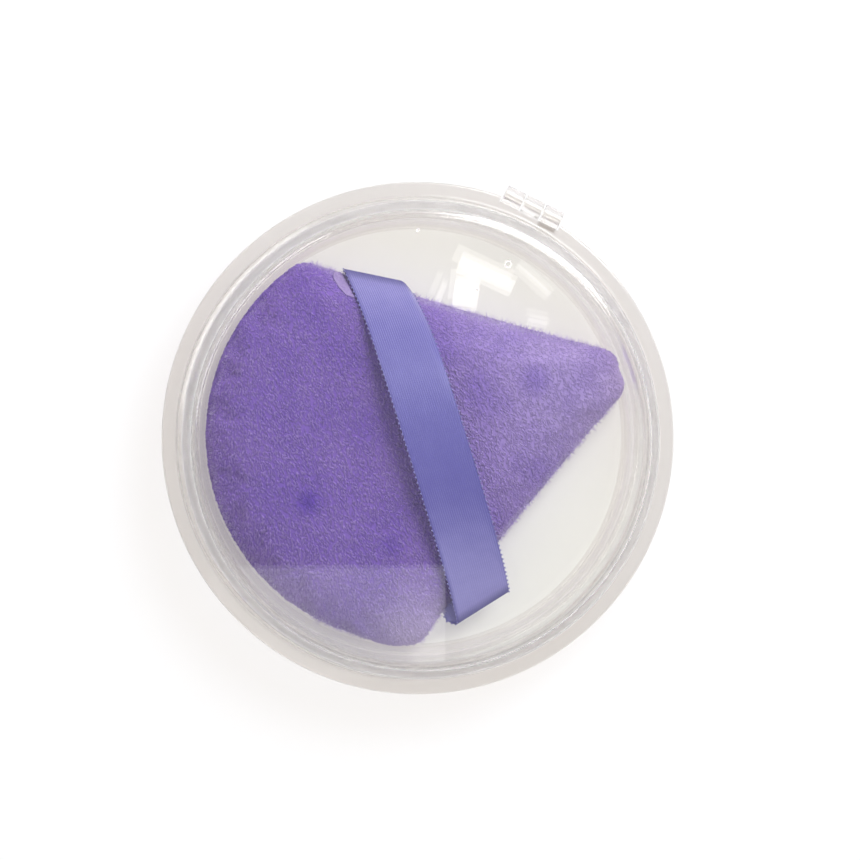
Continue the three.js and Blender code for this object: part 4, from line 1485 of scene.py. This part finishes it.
out_by = PICOT_REACH - PICOT_SIZE / 2
edge_rows = [front[row] + np.array([side * out_by, 0, 0]) for row, side in ((0, -1), (-1, 1))]
edge_points = in_case(np.concatenate(edge_rows))
edge_links = [(i, i + 1) for i in range(2 * run - 1) if i != run - 1]
picots = mesh_object("ribbon_picots", edge_points, [], edge_links)
values = {"Step": PICOT_STEP, "Length": LOOP_LENGTH, "Thickness": PICOT_SIZE}
grow(picots, stitcher, Material=pale_satin, **values)
print("picots", len(picots.data.polygons), "faces")

# %% [markdown]
# ## Lining tab
#
# Beside the ribbon's upper end a scrap of the pale knit that backs the velour is caught in the seam
# and lies folded out over the edge. It is a small thin sheet that follows the panel: rays from the
# camera find the places on the panel that show at its outline in the photograph, and where a ray
# goes past the edge the nearest place is taken. It is lifted by less than the pile is high, so the
# tips of the pile stand round it.

# %% Lining tab
# Warp-knit backing: its rows of small loops give it a fine matt grain.
TAB_LEFT = [(333, 273), (333, 280), (338, 288), (346, 296)]  # in the photograph, from the seam
TAB_RIGHT = [(341, 273), (345, 281), (350, 290), (355, 299)]
TAB_ACROSS = 9
TAB_DOWN = 13
TAB_LIFT = 0.2 * MM
TAB_THICKNESS = 0.15 * MM
CURL_ACROSS = (0.12, 0.76)  # where its bow starts and how far it goes, in half turns
CURL_DOWN = (0.25, 0.65)
LOOP_SIZE = 0.35 * MM
LOOP_DEPTH = 0.05 * MM

lining, tree = new_material("pale_knit_lining")
place = add(tree, "ShaderNodeTexCoord").outputs["Object"]
feeds = {"Vector": place, "Scale": 1 / LOOP_SIZE}
loops = add(tree, "ShaderNodeTexVoronoi", feeds).outputs["Distance"]
end_fibre(tree, loops, ("#A794CB", "#8E78BE"), roughness=0.8, sheen=0.2, relief=LOOP_DEPTH)


def tab_side(pixels):
    """Evenly spread pixels down one side of the scrap."""
    rows = np.linspace(0, len(pixels) - 1, TAB_DOWN)
    known = range(len(pixels))
    return np.stack([np.interp(rows, known, axis) for axis in np.array(pixels).T], 1)


def bow(curl, share):
    return math.sin(math.pi * (curl[0] + curl[1] * share))


bpy.context.view_layer.update()
tab_points = []
for down, (left, right) in enumerate(zip(tab_side(TAB_LEFT), tab_side(TAB_RIGHT))):
    for share in np.linspace(0, 1, TAB_ACROSS):
        pixel = left + (right - left) * share
        way = seen_at(pixel, 0) - eye
        met, spot, normal, _ = upper_panel.ray_cast(eye, way.normalized())
        if not met:
            beside = seen_at(pixel, upper_seam)
            met, spot, normal, _ = upper_panel.closest_point_on_mesh(beside)
        curl = bow(CURL_ACROSS, share) * bow(CURL_DOWN, down / (TAB_DOWN - 1))
        tab_points.append(spot + normal * (TAB_LIFT * (0.5 + 0.5 * curl)))
tab_faces = []
for down in range(TAB_DOWN - 1):
    for side in range(TAB_ACROSS - 1):
        a = down * TAB_ACROSS + side
        tab_faces.append((a, a + 1, a + TAB_ACROSS + 1, a + TAB_ACROSS))
tab = mesh_object("lining_tab", tab_points, tab_faces)
wall = tab.modifiers.new("thickness", "SOLIDIFY")
wall.thickness = TAB_THICKNESS
smoother = tab.modifiers.new("smooth", "SUBSURF")
smoother.levels = smoother.render_levels = 1
face_out(settle(tab)).data.shade_smooth()
finish_with(tab, lining)
print("lining tab", len(tab.data.polygons), "faces")

# %% [markdown]
# ## Marks on the lid
#
# Where the plastic enters a mould and where pins push the finished lid out, small round marks stay
# on the inner face: one ring and two dots here. The lathe turns each from a tiny profile, and they
# hang under the ceiling.

# %% Moulding marks
# Where a pin or the gate touched, a tiny step and a greyer tint break the polished face.
MARKS = [  # place in the photograph, inner and outer radius
    ((508, 264), 0.42 * MM, 0.62 * MM),
    ((418, 230), 0.0, 0.24 * MM),
    ((477, 290), 0.0, 0.26 * MM),
]
MARK_DEPTH = 0.012 * MM
MARK_SIDES = 24
GATE_TINT = "#E4E1DF"

gate_plastic = moulded("dulled_gate_mark", GATE_TINT, PLASTIC_TINT, 1.0, POLISHED)
marks = mesh_object("lid_marks", [], [])
work = bmesh.new()
for pixel, inner, outer in MARKS:
    low = ceiling - MARK_DEPTH
    profile = [(inner, ceiling, 0), (outer, ceiling, 0), ((inner + 2 * outer) / 3, low, 0)]
    if inner:
        profile += [((2 * inner + outer) / 3, low, 0), (inner, ceiling, 0)]
    else:
        profile.append((0, low, 0))
    mark = turned_piece("mark", profile, gate_plastic, MARK_SIDES)
    spot = seen_at(pixel, ceiling)
    mark.data.transform(Matrix.Translation((spot.x, spot.y, 0)))
    work.from_mesh(mark.data)
    bpy.data.objects.remove(mark)
work.to_mesh(marks.data)
work.free()
finish_with(marks, gate_plastic)
print("marks", len(marks.data.polygons), "faces")

# %% [markdown]
# ## Bodies and solids
#
# The lid swings and the puff lifts, so each piece rides on the body that carries it, and the plain
# solid that it takes the place of is hidden. Each row also lists the finish that the piece has in
# the library.

# %% Bodies and solids
for piece, body, slot_name, nodes in (
    (case_base, "base", "clear_plastic", ["case_base"]),
    (hinge_pin, "base", "pin_plastic", ["hinge_pin"]),
    (case_lid, "lid", "clear_plastic", ["case_lid"]),
    (upper_panel, "puff", "velour", ["velour_upper_panel"]),
    (upper_pile, "puff", "velour", []),
    (fuzz, "puff", "velour", []),
    (lower_panel, "puff", "velour", ["velour_lower_panel"]),
    (lower_pile, "puff", "velour", []),
    (core, "puff", "wadding", ["puff_core"]),
    (stitches, "puff", "thread", ["seam_thread"]),
    (ribbon, "puff", "satin", ["finger_ribbon"]),
    (picots, "puff", "satin", []),
    (tab, "puff", "velour", []),
    (marks, "lid", "clear_plastic", []),
):
    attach(piece, body)
    if nodes:
        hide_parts(*nodes)
